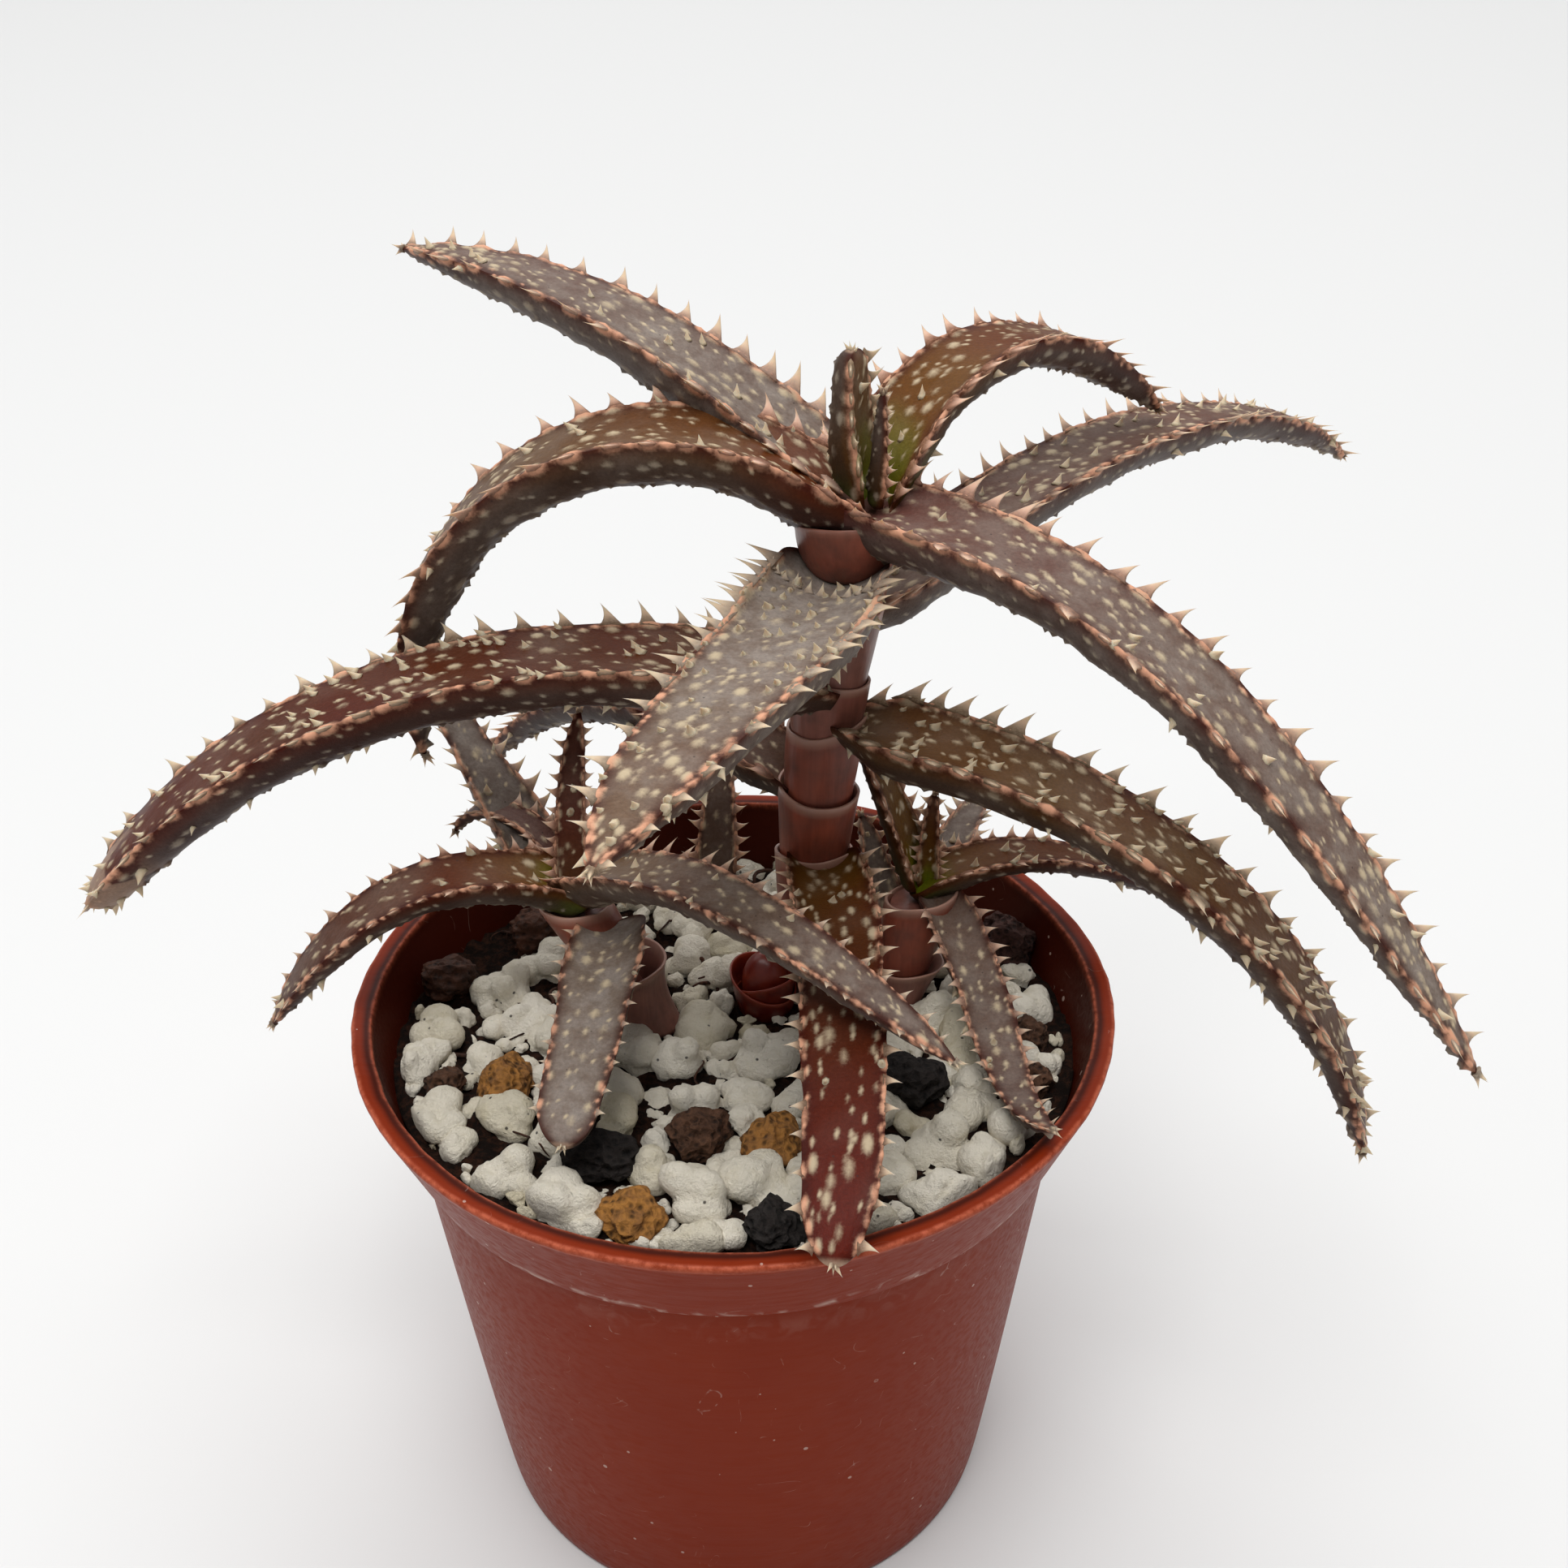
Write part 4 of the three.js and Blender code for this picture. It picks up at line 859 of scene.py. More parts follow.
def blade_values(leaf, blade, rings, rng):
    """What the leaf's finish reads over a blade: its tones, changed in soft patches, the band along the
    margins, which has little bloom, the underside, and the dry crust of an end."""
    margins = np.stack([rings[:, 0], rings[:, rings.shape[1] // 2]], 1)
    edge = np.linalg.norm(rings[:, :, None] - margins[:, None], axis=-1).min(axis=-1)
    t = length_share(leaf, blade.distance)[:, None]
    band = np.exp(-(edge / (0.06 * leaf.width + 0.3)) ** 2)
    under = smooth(-np.sin(turns(rings.shape[1])), 0.05, 0.5)[None] * np.ones_like(t)
    patches = waves(rings, 7, rng)
    tones = tones_at(leaf, t)
    bloom = (tones["bloom"] * (1 - 0.3 * under) + 0.1 * patches) * (1 - 0.9 * band)
    red = tones["red"] + 0.12 * waves(rings, 11, rng)
    green = tones["green"] * (1 - 0.5 * band) + 0.06 * patches
    dry = smooth(t, 0.985, 1) if leaf.blunt else 0 * t
    if leaf.silvery:
        dry = 0.55 * smooth(t, 0.86, 0.93) * (patches > 0.1)
    return {"bloom": np.clip(bloom, 0, 1), "red": np.clip(red, 0, 1), "green": np.clip(green, 0, 1),
            "margin": band, "under": under, "dry": dry}


def stem_centre(stem, height):
    """Points of a stem's axis at heights, straight between its stated points."""
    points = np.array(STEMS[stem][0], float)
    x, y = (np.interp(height, points[:, 2], points[:, k]) for k in (0, 1))
    return np.stack([x, y, np.broadcast_to(height, x.shape)], -1)


def sheath_rings(stem, low, high, flare, rng, rise, heading, open_side=0.0, full=0.0):
    """A sheath as a tube wall, (rings, sides, 3), with its lip's share. Going up, the outside is the
    stem's radius plus gap, wall and bulge, drawn in at the foot, and flares as the square to the lip;
    then the wall turns over its thin lip and runs down inside. Towards the heading the lip stands
    higher and opens further, and it waves a little."""
    radius = STEMS[stem][1] + SHEATH_GAP
    up = np.linspace(0, 1, 15)
    thick = SHEATH_WALL * (1 - 0.72 * up ** 2)
    outer = radius + SHEATH_WALL + full + flare * up ** 2 - (0.3 + 0.9 * full) * (1 - up) ** 2.5
    lip_turn = np.linspace(0, math.pi, 6)[1:-1]
    lip_half = thick[-1] / 2
    lip_radius = outer[-1] - lip_half + lip_half * np.cos(lip_turn)
    profile_radius = np.concatenate([outer, lip_radius, (outer - thick)[::-1]])
    profile_up = np.concatenate([up, 1 + 0.5 * lip_half * np.sin(lip_turn) / (high - low), up[::-1]])
    turn = turns(60)
    facing = 0.5 + 0.5 * np.cos(turn - math.radians(heading))
    wave = sum(rng.uniform(0.1, 0.3) / k * np.sin(k * turn + rng.uniform(0, TURN)) for k in (1, 2, 3, 5))
    height = low + profile_up[:, None] * (high - low + rise * facing + wave)
    spread = profile_radius[:, None] + profile_up[:, None] ** 3 * (open_side * facing + 0.35 * wave)
    rings = stem_centre(stem, height) + around(spread, turn, 0)
    return rings, smooth(profile_up, 0.86, 1.0)[:, None] + 0 * turn


def leaf_sheath(shells, leaf, rng):
    """The tube of a leaf's foot round its stem. The lower it sits, the less red it is; a full one is the
    crown's, redder and with a fainter lip."""
    low, high, flare = leaf.sheath
    wall, lip = sheath_rings(leaf.stem, low - 1.0, high, flare, rng, 1.1, leaf.heading[0], full=leaf.full)
    red = 0.15 + 0.75 * float(smooth(80 - low, 0, 18))
    if leaf.full > 1:
        lip, red = lip * 0.3, 0.7
    shells.add(wall[None], material=1, lip=lip[None], red=red)


def build_leaf(leaf, look, materials, rng):
    """One leaf as one piece: blade, sheath, margin teeth, spots and prickles."""
    blade = bare_blade(leaf, look, rng)
    shells = Shells()
    blotches = margin_teeth(shells, leaf, look, blade, rng)
    if leaf.comb < 0.5:
        foot_teeth(shells, leaf, look, blade, rng)
    tip_teeth(shells, leaf, look, blade, rng)
    spots = scattered_spots(leaf, look, blade, rng)
    face_prickles(shells, leaf, look, blade, spots, rng)
    knobs = underside_knobs(leaf, look, blade, rng)
    field, raised = np.zeros(blade.rings.shape[:2]), np.zeros(blade.rings.shape[:2])
    for marks, stretch, lift in ((spots, leaf.stretch, 0.28), (knobs, 1.0, 0.75), (blotches, 1.5, 0.32)):
        paint_spots(blade, marks, stretch, lift, field, raised)
    rings = blade.rings + blade.normal * raised[..., None]
    ends = (midline(leaf, np.array([at]))[0] for at in (-leaf.foot * leaf.width, leaf.length))
    shells.add(rings[None], *ends, spot=field, **blade_values(leaf, blade, rings, rng))
    if leaf.sheath:
        leaf_sheath(shells, leaf, rng)
    place(leaf.node + "_skin", shells, materials, [leaf.node])


# Stems and bud

def stem_rings(stem):
    """A stem as rings up its axis, with nodes of the old leaves as shallow waves each 1.6 mm. Towards
    its top it swells to nearly double, where the youngest leaves' feet fill the highest sheath."""
    points, radius = STEMS[stem]
    top = points[-1][2]
    height = np.arange(points[0][2], top, 0.4)
    crown = 0.85 * smooth(height, top - 3.5, top - 1) * (stem != "rear")
    swell = radius * (1 + crown - 0.06 * np.abs(np.sin(height * math.pi / 1.6)))[:, None]
    return stem_centre(stem, height)[:, None] + around(swell, turns(32), 0)


def bud_rings(radius, low, high, top_share):
    """A bud: radius times a belly that closes at the top as the root of 1 - x^2, with three soft ribs."""
    up = np.linspace(0, 0.995, 30)
    turn = turns(48)
    belly = np.where(up < top_share, 0.86 + 0.14 * np.sin(up / top_share * math.pi / 2),
                     np.sqrt(np.maximum(1 - ((up - top_share) / (1 - top_share)) ** 2, 0)))
    ribs = 1 + 0.06 * np.cos(3 * turn[None] + 2.2 * up[:, None])
    return around(radius * belly[:, None] * ribs, turn, (low + (high - low) * up)[:, None])


def bud_cup(reach, heading, base):
    """A scale of the bud's open cup: a wall that bellies, opens towards its heading, where it stands
    highest, and thins to its lip. Returns its rings and its lip's share."""
    turn = turns(64)
    up = np.linspace(0, 1, 16)
    facing = 0.5 + 0.5 * np.cos(turn - heading)
    outer = reach * (0.82 + 0.2 * np.sin(up * 1.9))[:, None] + 0.35 * up[:, None] ** 3 * facing
    thick = 0.5 * (1 - 0.7 * up)[:, None]
    both = np.concatenate([up, up[::-1]])
    rings = around(np.concatenate([outer, (outer - thick)[::-1]]), turn,
                   both[:, None] * (2.2 + 2.3 * facing) + base)
    return rings, smooth(both, 0.8, 1)[:, None]


# Filling

def surface(y, lift):
    """A height above the filling's level, which falls towards the back by the surface slope."""
    return SOIL_TOP + lift + SURFACE_SLOPE * y


def ball_directions(rings, sides):
    """Unit directions over a ball in rings and sides, without the poles."""
    polar = np.pi * (np.arange(rings) + 0.5) / rings
    return around(np.sin(polar)[:, None], turns(sides), np.cos(polar)[:, None])


def furthest_ball(directions, centres, radii):
    """How far each direction reaches inside overlapping balls that hold the origin: the largest root,
    c.d + sqrt(r^2 - c.c + (c.d)^2), among the balls."""
    along = np.einsum("kbj,...j->kb...", centres, directions)
    shape = (slice(None), slice(None)) + (None,) * (along.ndim - 2)
    inside = (radii ** 2 - (centres ** 2).sum(-1))[shape] + along ** 2
    return np.max(along + np.sqrt(np.maximum(inside, 0)), axis=1)


def popcorn(places, radii, rng, rings, sides):
    """Perlite grains: each is the outline of a core and nine lumps that stand out of it, a little flat,
    turned at random, with knobs and hollows from two sizes of waves."""
    count = len(places)
    lumps = unit(rng.normal(size=(count, 10, 3))) * rng.uniform(0.3, 0.72, (count, 10, 1))
    balls = rng.uniform(0.3, 0.62, (count, 10))
    lumps[:, 0], balls[:, 0] = 0, 0.62
    stretch = rng.uniform(0.78, 1.2, (count, 3)) * np.array([1.1, 1, 0.85])
    spin = rng.uniform(0, TURN, count)
    # every skin of the grains reads the same waves, so their seeds are drawn once
    seeds = [np.random.default_rng(SEED + k).integers(1 << 30) for k in (5, 6)]

    def spread(values, way):
        return values.reshape((count,) + (1,) * (way.ndim - 1) + values.shape[1:])

    def skin(way):
        reach = furthest_ball(way, lumps, balls)
        body = way[None] * reach[..., None] * spread(stretch, way)
        c, s = spread(np.cos(spin), way), spread(np.sin(spin), way)
        x, y = body[..., 0] * c - body[..., 1] * s, body[..., 0] * s + body[..., 1] * c
        body = np.stack([x, y, body[..., 2]], -1) * spread(radii[:, None], way) + spread(places, way)
        knobs = (0.14 * waves(body, 1.3, np.random.default_rng(seeds[0]))
                 + 0.1 * waves(body, 0.6, np.random.default_rng(seeds[1])))
        body = body + way[None] * knobs[..., None]
        # what would pass the wall is pressed back: past the reach it goes on ever more slowly
        reach = np.hypot(body[..., 0], body[..., 1])
        past = np.maximum(reach - WALL_REACH, 0)
        body[..., :2] *= (1 - (past - WALL_GIVE * (1 - np.exp(-past / WALL_GIVE))) / reach)[..., None]
        return body

    ends = skin(np.array([[0, 0, 1], [0, 0, -1]], float))
    return skin(ball_directions(rings, sides)), ends[:, 0], ends[:, 1]


def scatter_grains(look, taken, rng):
    """Where perlite lies, as rows of x, y and radius: grains from large to small thrown over the pot's
    mouth, kept off the stems and stones and off each other, fewer at the back and left where the bark
    shows."""
    kept = []
    for radius in np.sort(0.62 + 2.5 * rng.uniform(size=look.grain_tries) ** 1.8)[::-1]:
        reach = math.sqrt(rng.uniform()) * (GRAIN_REACH - 0.55 * radius)
        turn = rng.uniform(0, TURN)
        x, y = reach * math.cos(turn), reach * math.sin(turn)
        bare = 0.75 * float(smooth(y, 4, 16)) + 0.85 * float(smooth(-x, 19, 23) * smooth(y, -1, 5))
        if rng.uniform() < bare:
            continue
        if any(math.hypot(x - a, y - b) < 0.9 * (radius + r) for a, b, r in taken):
            continue
        if any(math.hypot(x - a, y - b) < 0.75 * (radius + r) for a, b, r in kept):
            continue
        kept.append((x, y, radius))
    return np.array(kept)


def stone_rings(box, kind, rng):
    """A stone that fills its node's box: a ball of blunt facets, roughened by waves, with pits pressed
    in as bell-shaped dents. Bark is stretched, flat and streaked instead."""
    low, high = (np.array(corner) / MM for corner in box)
    centre, half = (low + high) / 2, (high - low) / 2
    ways = ball_directions(40, 60)
    planes = unit(rng.normal(size=(16, 3)))
    cut = rng.uniform(0.82, 1.0, 16)
    facing = np.maximum(np.einsum("ijk,pk->ijp", ways, planes), 0.05)
    body = ways * np.minimum((cut / facing).min(-1), 1.12)[..., None]
    rough = 0.1 * waves(body, 1.1, rng) + 0.05 * waves(body, 0.4, rng)
    if kind == "bark":
        rough = 0.1 * waves(body * np.array([0.25, 1.6, 1.6]), 0.5, rng)
    else:
        pits = unit(rng.normal(size=(150, 3)))
        size = rng.uniform(0.06, 0.17, 150)
        away = np.linalg.norm(ways[:, :, None] - pits, axis=-1)
        rough = rough - (size * np.exp(-(away / size) ** 4)).max(-1) * (1.1 if kind != "pumice" else 0.7)
    body = body * (1 + rough)[..., None]
    top, bottom = body[0].mean(0), body[-1].mean(0)
    fit = half * 1.06
    return (centre + body * fit)[None], (centre + top * fit)[None], (centre + bottom * fit)[None]


def strand(start, end, sag, radius, rng):
    """A fibre: a thin tube between two points, bent as a parabola and curled by waves."""
    t = np.linspace(0, 1, 14)
    curl = np.stack([np.sin(t * 7 + rng.uniform(0, TURN)), np.cos(t * 5 + rng.uniform(0, TURN)),
                     0.4 * np.sin(t * 6)], 1)
    t = t[:, None]
    line = start + (end - start) * t + np.array([0, 0, 1]) * sag * 4 * t * (1 - t) + curl * 0.35
    ahead = unit(np.gradient(line, axis=0))
    side = unit(np.cross(ahead, np.array([0.1, 0.2, 1.0])))
    lift = np.cross(side, ahead)
    turn = turns(6)
    taper = radius * (1 - 0.6 * np.abs(2 * t - 1) ** 3)
    rings = (line[:, None] + side[:, None] * (taper * np.cos(turn))[..., None]
             + lift[:, None] * (taper * np.sin(turn))[..., None])
    return rings[None], line[:1], line[-1:]


# Pot

def pot_profile():
    """The pot's section from the foot's middle, up outside, over the rim and down inside, from the
    frame's own box: [radius, height] with its corners cut. Also its rim's radius, its height and the
    level where the collar begins."""
    high = np.array(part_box("pot")[1]) / MM
    rim, height = high[0], high[2]
    foot, collar = 0.72 * rim, 0.9015 * rim
    floor, collar_height = 1.6, 8.5
    band = height - collar_height
    outer = rounded([(foot - 2, 0), (foot - 0.7, 0), (foot, 0.7), (collar - 1.05, band - 0.7),
                     (collar - 1, band - 0.15), (collar - 0.15, band), (collar + 0.1, band + 0.6),
                     (rim - 0.16, height - 0.75), (rim, height - 0.5), (rim, height - 0.2),
                     (rim - 0.2, height), (rim - 0.5, height), (rim - 1.1, height - 0.1),
                     (rim - 1.45, height - 0.05), (rim - 1.7, height - 0.1), (rim - 1.8, height - 0.35),
                     (rim - 1.9, height - 1.2), (collar - 0.95, band + 1), (collar - 2, band - 1),
                     (foot - 0.9, 2.4), (foot - 2, floor)])
    outward = np.linspace(0.4, foot - 2.2, 14)
    inward = np.linspace(foot - 2.2, 0.4, 14)
    wall = []
    for first, second in zip(outer[:-1], outer[1:]):
        count = max(int(np.hypot(*(second - first)) / 1.2), 1)
        wall.append(first + (second - first) * np.arange(count)[:, None] / count)
    profile = np.vstack([np.stack([outward, 0 * outward], 1), *wall, outer[-1:],
                         np.stack([inward, 0 * inward + floor], 1)])
    return profile, rim, height, band


def pot_shells(rng):
    """The pot's skin: its profile turned round, with small nicks in the rim, and where its rim's edges are
    rubbed pale and carry a painted highlight, its inside darkened as painted shade, and its outside
    marked by the tide line under the collar."""
    profile, rim, height, band = pot_profile()
    turn = turns(240)
    radius, level = profile[:, :1], profile[:, 1:]
    rings = around(radius, turn, level)
    top = smooth(level, height - 1, height - 0.3) * smooth(radius, rim - 3, rim - 2)
    nicks = waves(rings, 2.2, rng) * 0.05 + waves(rings, 14, rng) * 0.06
    rings = rings + around(1, turn, 0)[None] * (nicks * top)[..., None]
    # the rim's outer and inner edges: rubbed pale and given a painted highlight
    outer_edge = np.exp(-((radius - rim + 0.1) / 0.17) ** 2)
    inner_edge = np.exp(-((radius - rim + 1.65) / 0.16) ** 2)
    worn_and_lit = np.clip(top * (outer_edge + 0.7 * inner_edge), 0, 1)
    row = np.arange(len(profile))[:, None]
    over = np.argmax(profile[:, 1])
    above_band = rings[..., 2] + 0.55 * waves(rings, 10, rng) + 0.3 * waves(rings, 3.5, rng) - band
    front = 0.35 + 0.65 * smooth(-rings[..., 1], 5, 25)
    tide = np.exp(-((above_band - 0.6) / 0.32) ** 2) + 0.12 * np.exp(-((above_band + 2.6) / 0.9) ** 2)
    shells = Shells()
    middles = np.array([[0, 0, profile[0, 1]]]), np.array([[0, 0, profile[-1, 1]]])
    # inside marks the inner wall below the rim, which is darkened as painted shade
    shells.add(rings[None], *middles, rim=worn_and_lit, inside=smooth(row, over + 6, over + 16),
               tide=tide * front * (row < over))
    return shells


def drain_drills(look):
    """Upright pegs in a circle that stand through the pot's foot where its drain holes are."""
    centre = around(look.drain_circle, turns(look.drain_holes), 0) / MM
    circle = around(look.drain_radius, turns(32), 0) / MM
    ends = np.array([[0, 0, -2.0], [0, 0, 4.0]])
    drills = Shells()
    drills.add(centre[:, None, None] + ends[None, :, None] + circle[None, None], centre + ends[0],
               centre + ends[1])
    return drills


# The add-on's settings

class PotSettings(bpy.types.PropertyGroup):
    """Finish of the pot."""
    colour: colour_property("Plastic", "Terracotta colour of the pot", "#7d270c")
    faded: colour_property("Faded", "Colour where light has faded the plastic", "#852f13")
    # painted shade on the inner wall
    inside: colour_property("Inside", "Colour of the soiled inner wall", "#2c0d07")
    chalk: colour_property("Chalk", "Colour of dust and of the tide mark", "#cdb3a6")
    # pale wear and painted highlight along the rim's edges
    scuff_and_highlight: colour_property("Scuffed rim", "Colour where the rim is worn", "#bd6146")
    gloss: share_property("Roughness", "Lowest roughness of the plastic", 0.36)
    drain_radius: size_property("Drain hole radius", "Radius of a drain hole in the foot", 2.4)
    drain_circle: size_property("Drain circle", "Radius of the circle of drain holes", 15)
    drain_holes: count_property("Drain holes", "Drain holes in the foot", 6)


class FillingSettings(bpy.types.PropertyGroup):
    """What fills the pot."""
    perlite: colour_property("Perlite", "Colour of clean perlite", "#fdf5e4")
    perlite_stain: colour_property("Stained perlite", "Colour of watered perlite", "#cdc09c")
    soil: colour_property("Soil", "Colour of moist peat", "#150d09")
    bark: colour_property("Bark", "Colour of bark and fibres", "#4a2c1e")
    pumice: colour_property("Pumice", "Colour of ochre pumice", "#9b6a30")
    brown_lava: colour_property("Brown lava", "Colour of brown lava", "#553a2a")
    black_lava: colour_property("Black lava", "Colour of black lava", "#282422")
    red_lava: colour_property("Red lava", "Colour of red-brown lava", "#49302a")
    grain_tries: count_property("Grain throws", "How often a grain is thrown", 7000)
    fibres: count_property("Fibres", "Loose fibres on the soil", 70)


class LeafSettings(bpy.types.PropertyGroup):
    """Form and colours of the leaves."""
    thickness: share_property("Thickness", "A blade's depth below its margins by its width", 0.53)
    tooth_length: size_property("Tooth length", "Length of the longest margin teeth", 2.4)
    tooth_spacing: size_property("Tooth spacing", "Spacing of the teeth on the broadest leaves", 3.1)
    hook: share_property("Tooth hook", "How far a tooth leans forward by its length", 0.42)
    prickled: share_property("Prickles", "Share of the prickles that each leaf could have", 1)
    spots_per_area: number_property("Spots", "Spots for each square millimetre of outline", 0.95)
    knobs_per_length: number_property("Knobs", "Knobs under each millimetre of leaf", 2.2)
    brown: colour_property("Brown", "Sunned leaf without bloom", "#3d210f")
    olive: colour_property("Olive", "Half-green leaf", "#65450f")
    green: colour_property("Green", "Young leaf", "#6e7d14")
    red: colour_property("Red", "Leaf reddened by sun and drought", "#5a190d")
    # painted shade: the colour that the underside is darkened towards
    underside: colour_property("Underside", "Shaded keel", "#2f2827")
    margin: colour_property("Margin", "Band along the margins", "#3a0f07")
    bloom: colour_property("Bloom", "Waxy bloom", "#8d8279")
    spot: colour_property("Spot", "Spots on the faces", "#c3b193")
    under_spot: colour_property("Underside spot", "Spots on the keel", "#978b7b")
    margin_spot: colour_property("Margin spot", "Blotches at the teeth's roots", "#dfa585")
    dry: colour_property("Dry tissue", "Crust on dried ends", "#a98c76")
    gloss: share_property("Roughness", "Roughness of the skin without bloom", 0.42)
    tooth: colour_property("Tooth", "Body of a margin tooth", "#ddb29c")
    tooth_point: colour_property("Tooth point", "Point of a margin tooth", "#c28448")
    face_tooth: colour_property("Face prickle", "Prickles on the faces", "#cdbb9f")


class StemSettings(bpy.types.PropertyGroup):
    """Colours of the sheathed stems and of the bud."""
    mauve: colour_property("Mauve", "Sheath without red", "#8c6156")
    red: colour_property("Red", "Reddened sheath", "#944630")
    shade: colour_property("Shade", "Dark patches of a sheath", "#5a3b33")
    lip: colour_property("Lip", "Thin pale lip of a sheath", "#b08674")
    bud: colour_property("Bud", "Scales of the bud", "#5e150f")
    bud_light: colour_property("Light bud", "Thin parts of the bud's scales", "#93391f")


class StageSettings(bpy.types.PropertyGroup):
    """Floor, light and camera."""
    floor: colour_property("Floor", "Plain pale floor", "#dededd")
    overhead: number_property("Overhead light", "Power of the light tent's roof", 29, subtype="POWER",
                              unit="POWER")
    key: number_property("Key light", "Power of the key light", 3.9, subtype="POWER", unit="POWER")
    sky: number_property("Sky", "Strength of the even light all round", 0.28)
    lens: number_property("Lens", "Focal length in millimetres", 44.72, least=1)


class AloeSettings(bpy.types.PropertyGroup):
    """All settings of the potted aloe."""
    pot: PointerProperty(type=PotSettings)
    filling: PointerProperty(type=FillingSettings)
    leaf: PointerProperty(type=LeafSettings)
    stem: PointerProperty(type=StemSettings)
    stage: PointerProperty(type=StageSettings)


# Operators

class ALOE_OT_pot(bpy.types.Operator):
    """Build the nursery pot round the frame's own pot"""
    bl_idname = "aloe.pot"
    bl_label = "Pot"
    bl_options = {"REGISTER", "UNDO"}

    def execute(self, context):
        look = context.scene.potted_aloe.pot
        piece = place("nursery_pot", pot_shells(np.random.default_rng(SEED + 1)), [pot_plastic(look)],
                      ["pot"])
        drill = bpy.data.objects.new("drain_drill", drain_drills(look).mesh("drain_drill"))
        context.scene.collection.objects.link(drill)
        cut = piece.modifiers.new("drain holes", "BOOLEAN")
        cut.operation, cut.solver, cut.object = "DIFFERENCE", "EXACT", drill
        context.view_layer.update()
        shape = bpy.data.meshes.new_from_object(piece.evaluated_get(context.evaluated_depsgraph_get()))
        piece.modifiers.clear()
        piece.data = shape
        bpy.data.objects.remove(drill, do_unlink=True)
        return {"FINISHED"}


class ALOE_OT_filling(bpy.types.Operator):
    """Fill the pot with peat, perlite, pumice, lava, bark and fibres"""
    bl_idname = "aloe.filling"
    bl_label = "Filling"
    bl_options = {"REGISTER", "UNDO"}

    def execute(self, context):
        look = context.scene.potted_aloe.filling
        rng = np.random.default_rng(SEED + 2)
        soil = peat(look)
        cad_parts["soil"].data.materials.clear()
        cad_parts["soil"].data.materials.append(soil)
        self.bed(soil, rng)
        self.stones(look, rng)
        self.grains(look, rng)
        self.fibres(look, rng)
        return {"FINISHED"}

    @staticmethod
    def bed(soil, rng):
        """The crumbly top of the soil: rings out to the wall, raised and sunk by waves, closed below."""
        reach = np.linspace(0.3, BED_REACH, 90)[:, None]
        flat = around(reach, turns(220), 0)
        crumbs = 0.35 * waves(flat, 4, rng) + 0.3 * waves(flat, 1.5, rng) + 0.12 * waves(flat, 0.8, rng)
        top, under = flat.copy(), flat[::-6].copy()
        top[..., 2] = surface(top[..., 1], 0.75) + np.clip(crumbs, -0.6, 1.2)
        under[..., 2] = surface(under[..., 1], 0.08)
        shells = Shells()
        shells.add_solid(np.concatenate([top, under], axis=0))
        place("peat_bed", shells, [soil])

    @staticmethod
    def stones(look, rng):
        finish = {}
        for kind, (_, relief) in STONE_KINDS.items():
            dark = look.brown_lava if kind == "pumice" else look.soil
            roughness = 0.7 if kind == "bark" else 0.9
            finish[kind] = porous(kind.replace("_", " ") + ", porous", getattr(look, kind), dark, 0.7,
                                  roughness, relief)
        for node, kind in STONES.items():
            shells = Shells()
            shells.add(*stone_rings(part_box(node), kind, rng), tint=rng.uniform(0, 0.25))
            place(node + "_stone", shells, [finish[kind]], [node])

    @staticmethod
    def grains(look, rng):
        """The perlite: large grains with more points than the small crumbs between them, and some of
        them stained."""
        taken = list(FEET)
        for node in STONES:
            low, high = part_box(node)
            x, y = (np.add(low, high) / 2 / MM)[:2]
            taken.append((x, y, 0.36 * (high[0] - low[0]) / MM + 0.3))
        kept = scatter_grains(look, taken, rng)
        x, y, radius = kept.T
        count = len(kept)
        sunk = 0.55 + rng.uniform(-0.3, 0.6, count)
        places = np.stack([x, y, surface(y, sunk) + 0.12 * radius], 1)
        stain = np.where(rng.uniform(size=count) < 0.14, rng.uniform(0.35, 0.7, count),
                         rng.uniform(0, 0.2, count))
        skin = perlite_skin(look)
        large = radius > 1.9
        for name, chosen, rings, sides, nodes in (("perlite_grains", large, 20, 28, ["perlite"]),
                                                  ("perlite_crumbs", ~large, 13, 18, [])):
            shells = Shells()
            grains, low, high = popcorn(places[chosen], radius[chosen], rng, rings, sides)
            shells.add(grains, low, high, tint=stain[chosen][:, None, None])
            place(name, shells, [skin], nodes)

    @staticmethod
    def fibres(look, rng):
        """Root and bark fibres, most of them at the back and left, where the bark shows."""
        shells = Shells()
        for _ in range(look.fibres):
            reach, turn = 27 * math.sqrt(rng.uniform()), rng.uniform(0.15, 1.15) * math.pi
            if rng.uniform() < 0.25:
                turn = rng.uniform(0, TURN)
            x, y = reach * math.cos(turn), reach * math.sin(turn)
            start = np.array([x, y, surface(y, 1.1)])
            way = rng.uniform(0, TURN)
            length = rng.uniform(1.5, 5)
            end = start + np.array([math.cos(way) * length, math.sin(way) * length, 0])
            end[:2] *= min(1, FIBRE_REACH / np.hypot(*end[:2]))
            end[2] = surface(end[1], rng.uniform(0.7, 1.8))
            rings, low, high = strand(start, end, rng.uniform(0, 0.8), rng.uniform(0.06, 0.2), rng)
            shells.add(rings, low, high, tint=rng.uniform(0, 0.6))
        finish = porous("bark fibre", look.bark, look.soil, 0.5, 0.8, 0.1)
        place("bark_fibres", shells, [finish])


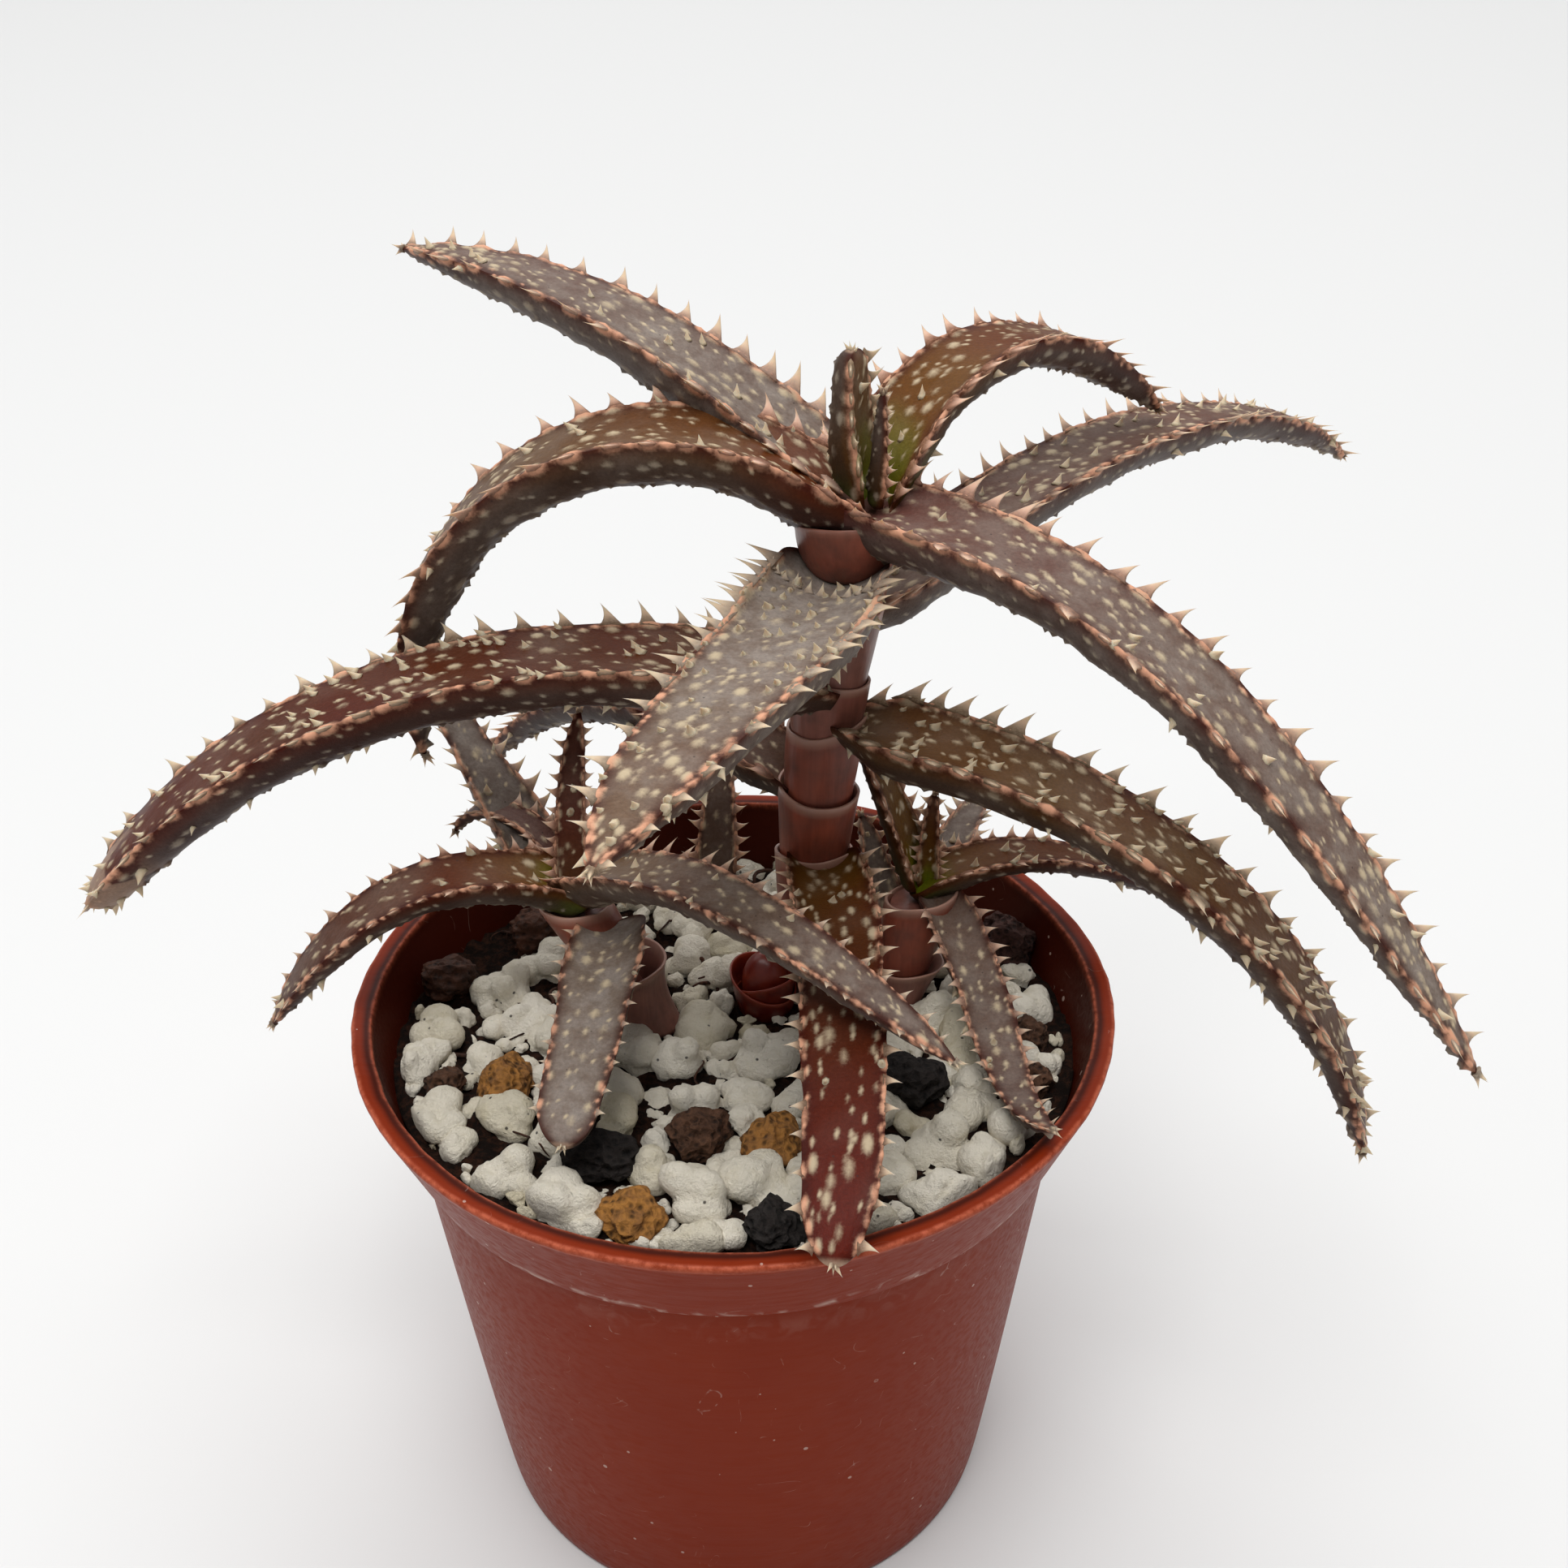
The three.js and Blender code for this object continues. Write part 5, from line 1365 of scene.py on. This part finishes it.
class ALOE_OT_stems(bpy.types.Operator):
    """Build the stems, the sheaths whose leaves are gone, and the red bud"""
    bl_idname = "aloe.stems"
    bl_label = "Stems and bud"
    bl_options = {"REGISTER", "UNDO"}

    def execute(self, context):
        look = context.scene.potted_aloe.stem
        rng = np.random.default_rng(SEED + 3)
        skin = sheath_skin(look)
        for stem in STEMS:
            shells = Shells()
            shells.add_solid(stem_rings(stem), lip=0.0, red=0.3)
            place(stem + "_stem_skin", shells, [skin], [stem + "_stem"])
        for node, stem, low, high, flare, heading, open_side in OLD_SHEATHS:
            shells = Shells()
            rings, lip = sheath_rings(stem, low - 1.2, high, flare, rng, 0.9, heading, open_side)
            shells.add(rings[None], lip=lip * 0.7, red=0.15)
            place(node + "_skin", shells, [skin], [node])
        self.bud(look)
        return {"FINISHED"}

    @staticmethod
    def bud(look):
        """A closed bud in an open cup of two scales, which fills the node's box."""
        low, high = (np.array(corner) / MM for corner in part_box("red_shoot"))
        centre = (low + high) / 2 * np.array([1, 1, 0])
        shells = Shells()
        shells.add_solid(bud_rings(2.0, low[2], high[2], 0.55) + centre, lip=0.15)
        for heading, reach in ((2.6, 2.75), (5.4, 2.5)):
            rings, lip = bud_cup(reach, heading, low[2])
            shells.add((rings + centre)[None], lip=0.5 * lip)
        place("red_bud", shells, [bud_skin(look)], ["red_shoot"])


class ALOE_OT_leaves(bpy.types.Operator):
    """Build every leaf with its sheath, teeth, spots and prickles"""
    bl_idname = "aloe.leaves"
    bl_label = "Leaves"
    bl_options = {"REGISTER", "UNDO"}

    def execute(self, context):
        settings = context.scene.potted_aloe
        materials = [leaf_skin(settings.leaf), sheath_skin(settings.stem)]
        for index, leaf in enumerate(LEAVES):
            rng = np.random.default_rng(SEED + 100 + index)
            build_leaf(leaf, settings.leaf, materials, rng)
        return {"FINISHED"}


class ALOE_OT_stage(bpy.types.Operator):
    """Lay a plain pale floor, hang soft lights and set the camera"""
    bl_idname = "aloe.stage"
    bl_label = "Stage"
    bl_options = {"REGISTER", "UNDO"}

    def execute(self, context):
        look = context.scene.potted_aloe.stage
        mesh = bpy.data.meshes.new("floor")
        mesh.from_pydata([(-FLOOR_HALF, -FLOOR_HALF, 0), (FLOOR_HALF, -FLOOR_HALF, 0),
                          (FLOOR_HALF, FLOOR_HALF, 0), (-FLOOR_HALF, FLOOR_HALF, 0)], [], [(0, 1, 2, 3)])
        paper = Finish("pale paper backdrop")
        paper.fill(paper.shader, {"Base Color": look.floor, "Roughness": 0.9, "Specular IOR Level": 0.1})
        mesh.materials.append(paper.material)
        floor = bpy.data.objects.new("floor", mesh)
        context.scene.collection.objects.link(floor)
        for name, (where, size, setting) in LIGHTS.items():
            self.light(context, name, where, size, getattr(look, setting))
        world = context.scene.world or bpy.data.worlds.new("even light")
        context.scene.world = world
        world.use_nodes = True
        sky = world.node_tree.nodes["Background"]
        sky.inputs["Color"].default_value = linear("#fbfcff")
        sky.inputs["Strength"].default_value = look.sky
        context.scene.view_settings.view_transform = "Standard"
        self.camera(context, look)
        return {"FINISHED"}

    @staticmethod
    def light(context, name, where, size, power):
        """A square soft light that faces the middle of the plant."""
        data = bpy.data.lights.new(name, "AREA")
        data.energy, data.size = power, size
        lamp = bpy.data.objects.new(name, data)
        away = Matrix.Translation(where).translation - Matrix.Translation(LIT_POINT).translation
        lamp.matrix_world = Matrix.Translation(where) @ away.to_track_quat("Z", "Y").to_matrix().to_4x4()
        context.scene.collection.objects.link(lamp)

    @staticmethod
    def camera(context, look):
        """The photograph's view, from above and in front, rolled a little."""
        elevation, roll = math.radians(CAMERA_ELEVATION), math.radians(CAMERA_ROLL)
        back = np.array([0, -math.cos(elevation), math.sin(elevation)])
        level = np.array([1.0, 0, 0])
        above = np.cross(back, level)
        pose = np.eye(4)
        pose[:3, 0] = math.cos(roll) * level + math.sin(roll) * above
        pose[:3, 1] = -math.sin(roll) * level + math.cos(roll) * above
        pose[:3, 2] = back
        pose[:3, 3] = np.array(CAMERA_PLACE) * MM
        data = bpy.data.cameras.new("photograph_view")
        data.sensor_width, data.lens = 36, look.lens
        data.clip_start, data.clip_end = 0.01, 20
        camera = bpy.data.objects.new("photograph_view", data)
        camera.matrix_world = Matrix(pose.tolist())
        context.scene.collection.objects.link(camera)
        context.scene.camera = camera


class ALOE_PT_panel(bpy.types.Panel):
    """The potted aloe's pieces and settings"""
    bl_idname = "ALOE_PT_panel"
    bl_label = "Potted Aloe"
    bl_space_type = "VIEW_3D"
    bl_region_type = "UI"
    bl_category = "Aloe"

    def draw(self, context):
        settings = context.scene.potted_aloe
        for operator, group in ((ALOE_OT_pot, "pot"), (ALOE_OT_filling, "filling"), (ALOE_OT_stems, "stem"),
                                (ALOE_OT_leaves, "leaf"), (ALOE_OT_stage, "stage")):
            box = self.layout.box()
            box.operator(operator.bl_idname)
            values = getattr(settings, group)
            for name in values.__annotations__:
                box.prop(values, name)


CLASSES = (PotSettings, FillingSettings, LeafSettings, StemSettings, StageSettings, AloeSettings,
           ALOE_OT_pot, ALOE_OT_filling, ALOE_OT_stems, ALOE_OT_leaves, ALOE_OT_stage, ALOE_PT_panel)


def register():
    for cls in CLASSES:
        bpy.utils.register_class(cls)
    bpy.types.Scene.potted_aloe = PointerProperty(type=AloeSettings)


def unregister():
    del bpy.types.Scene.potted_aloe
    for cls in reversed(CLASSES):
        bpy.utils.unregister_class(cls)


def main():
    register()
    bpy.ops.aloe.stage()
    bpy.ops.aloe.pot()
    bpy.ops.aloe.filling()
    bpy.ops.aloe.stems()
    bpy.ops.aloe.leaves()


if __name__ == "__main__":
    main()
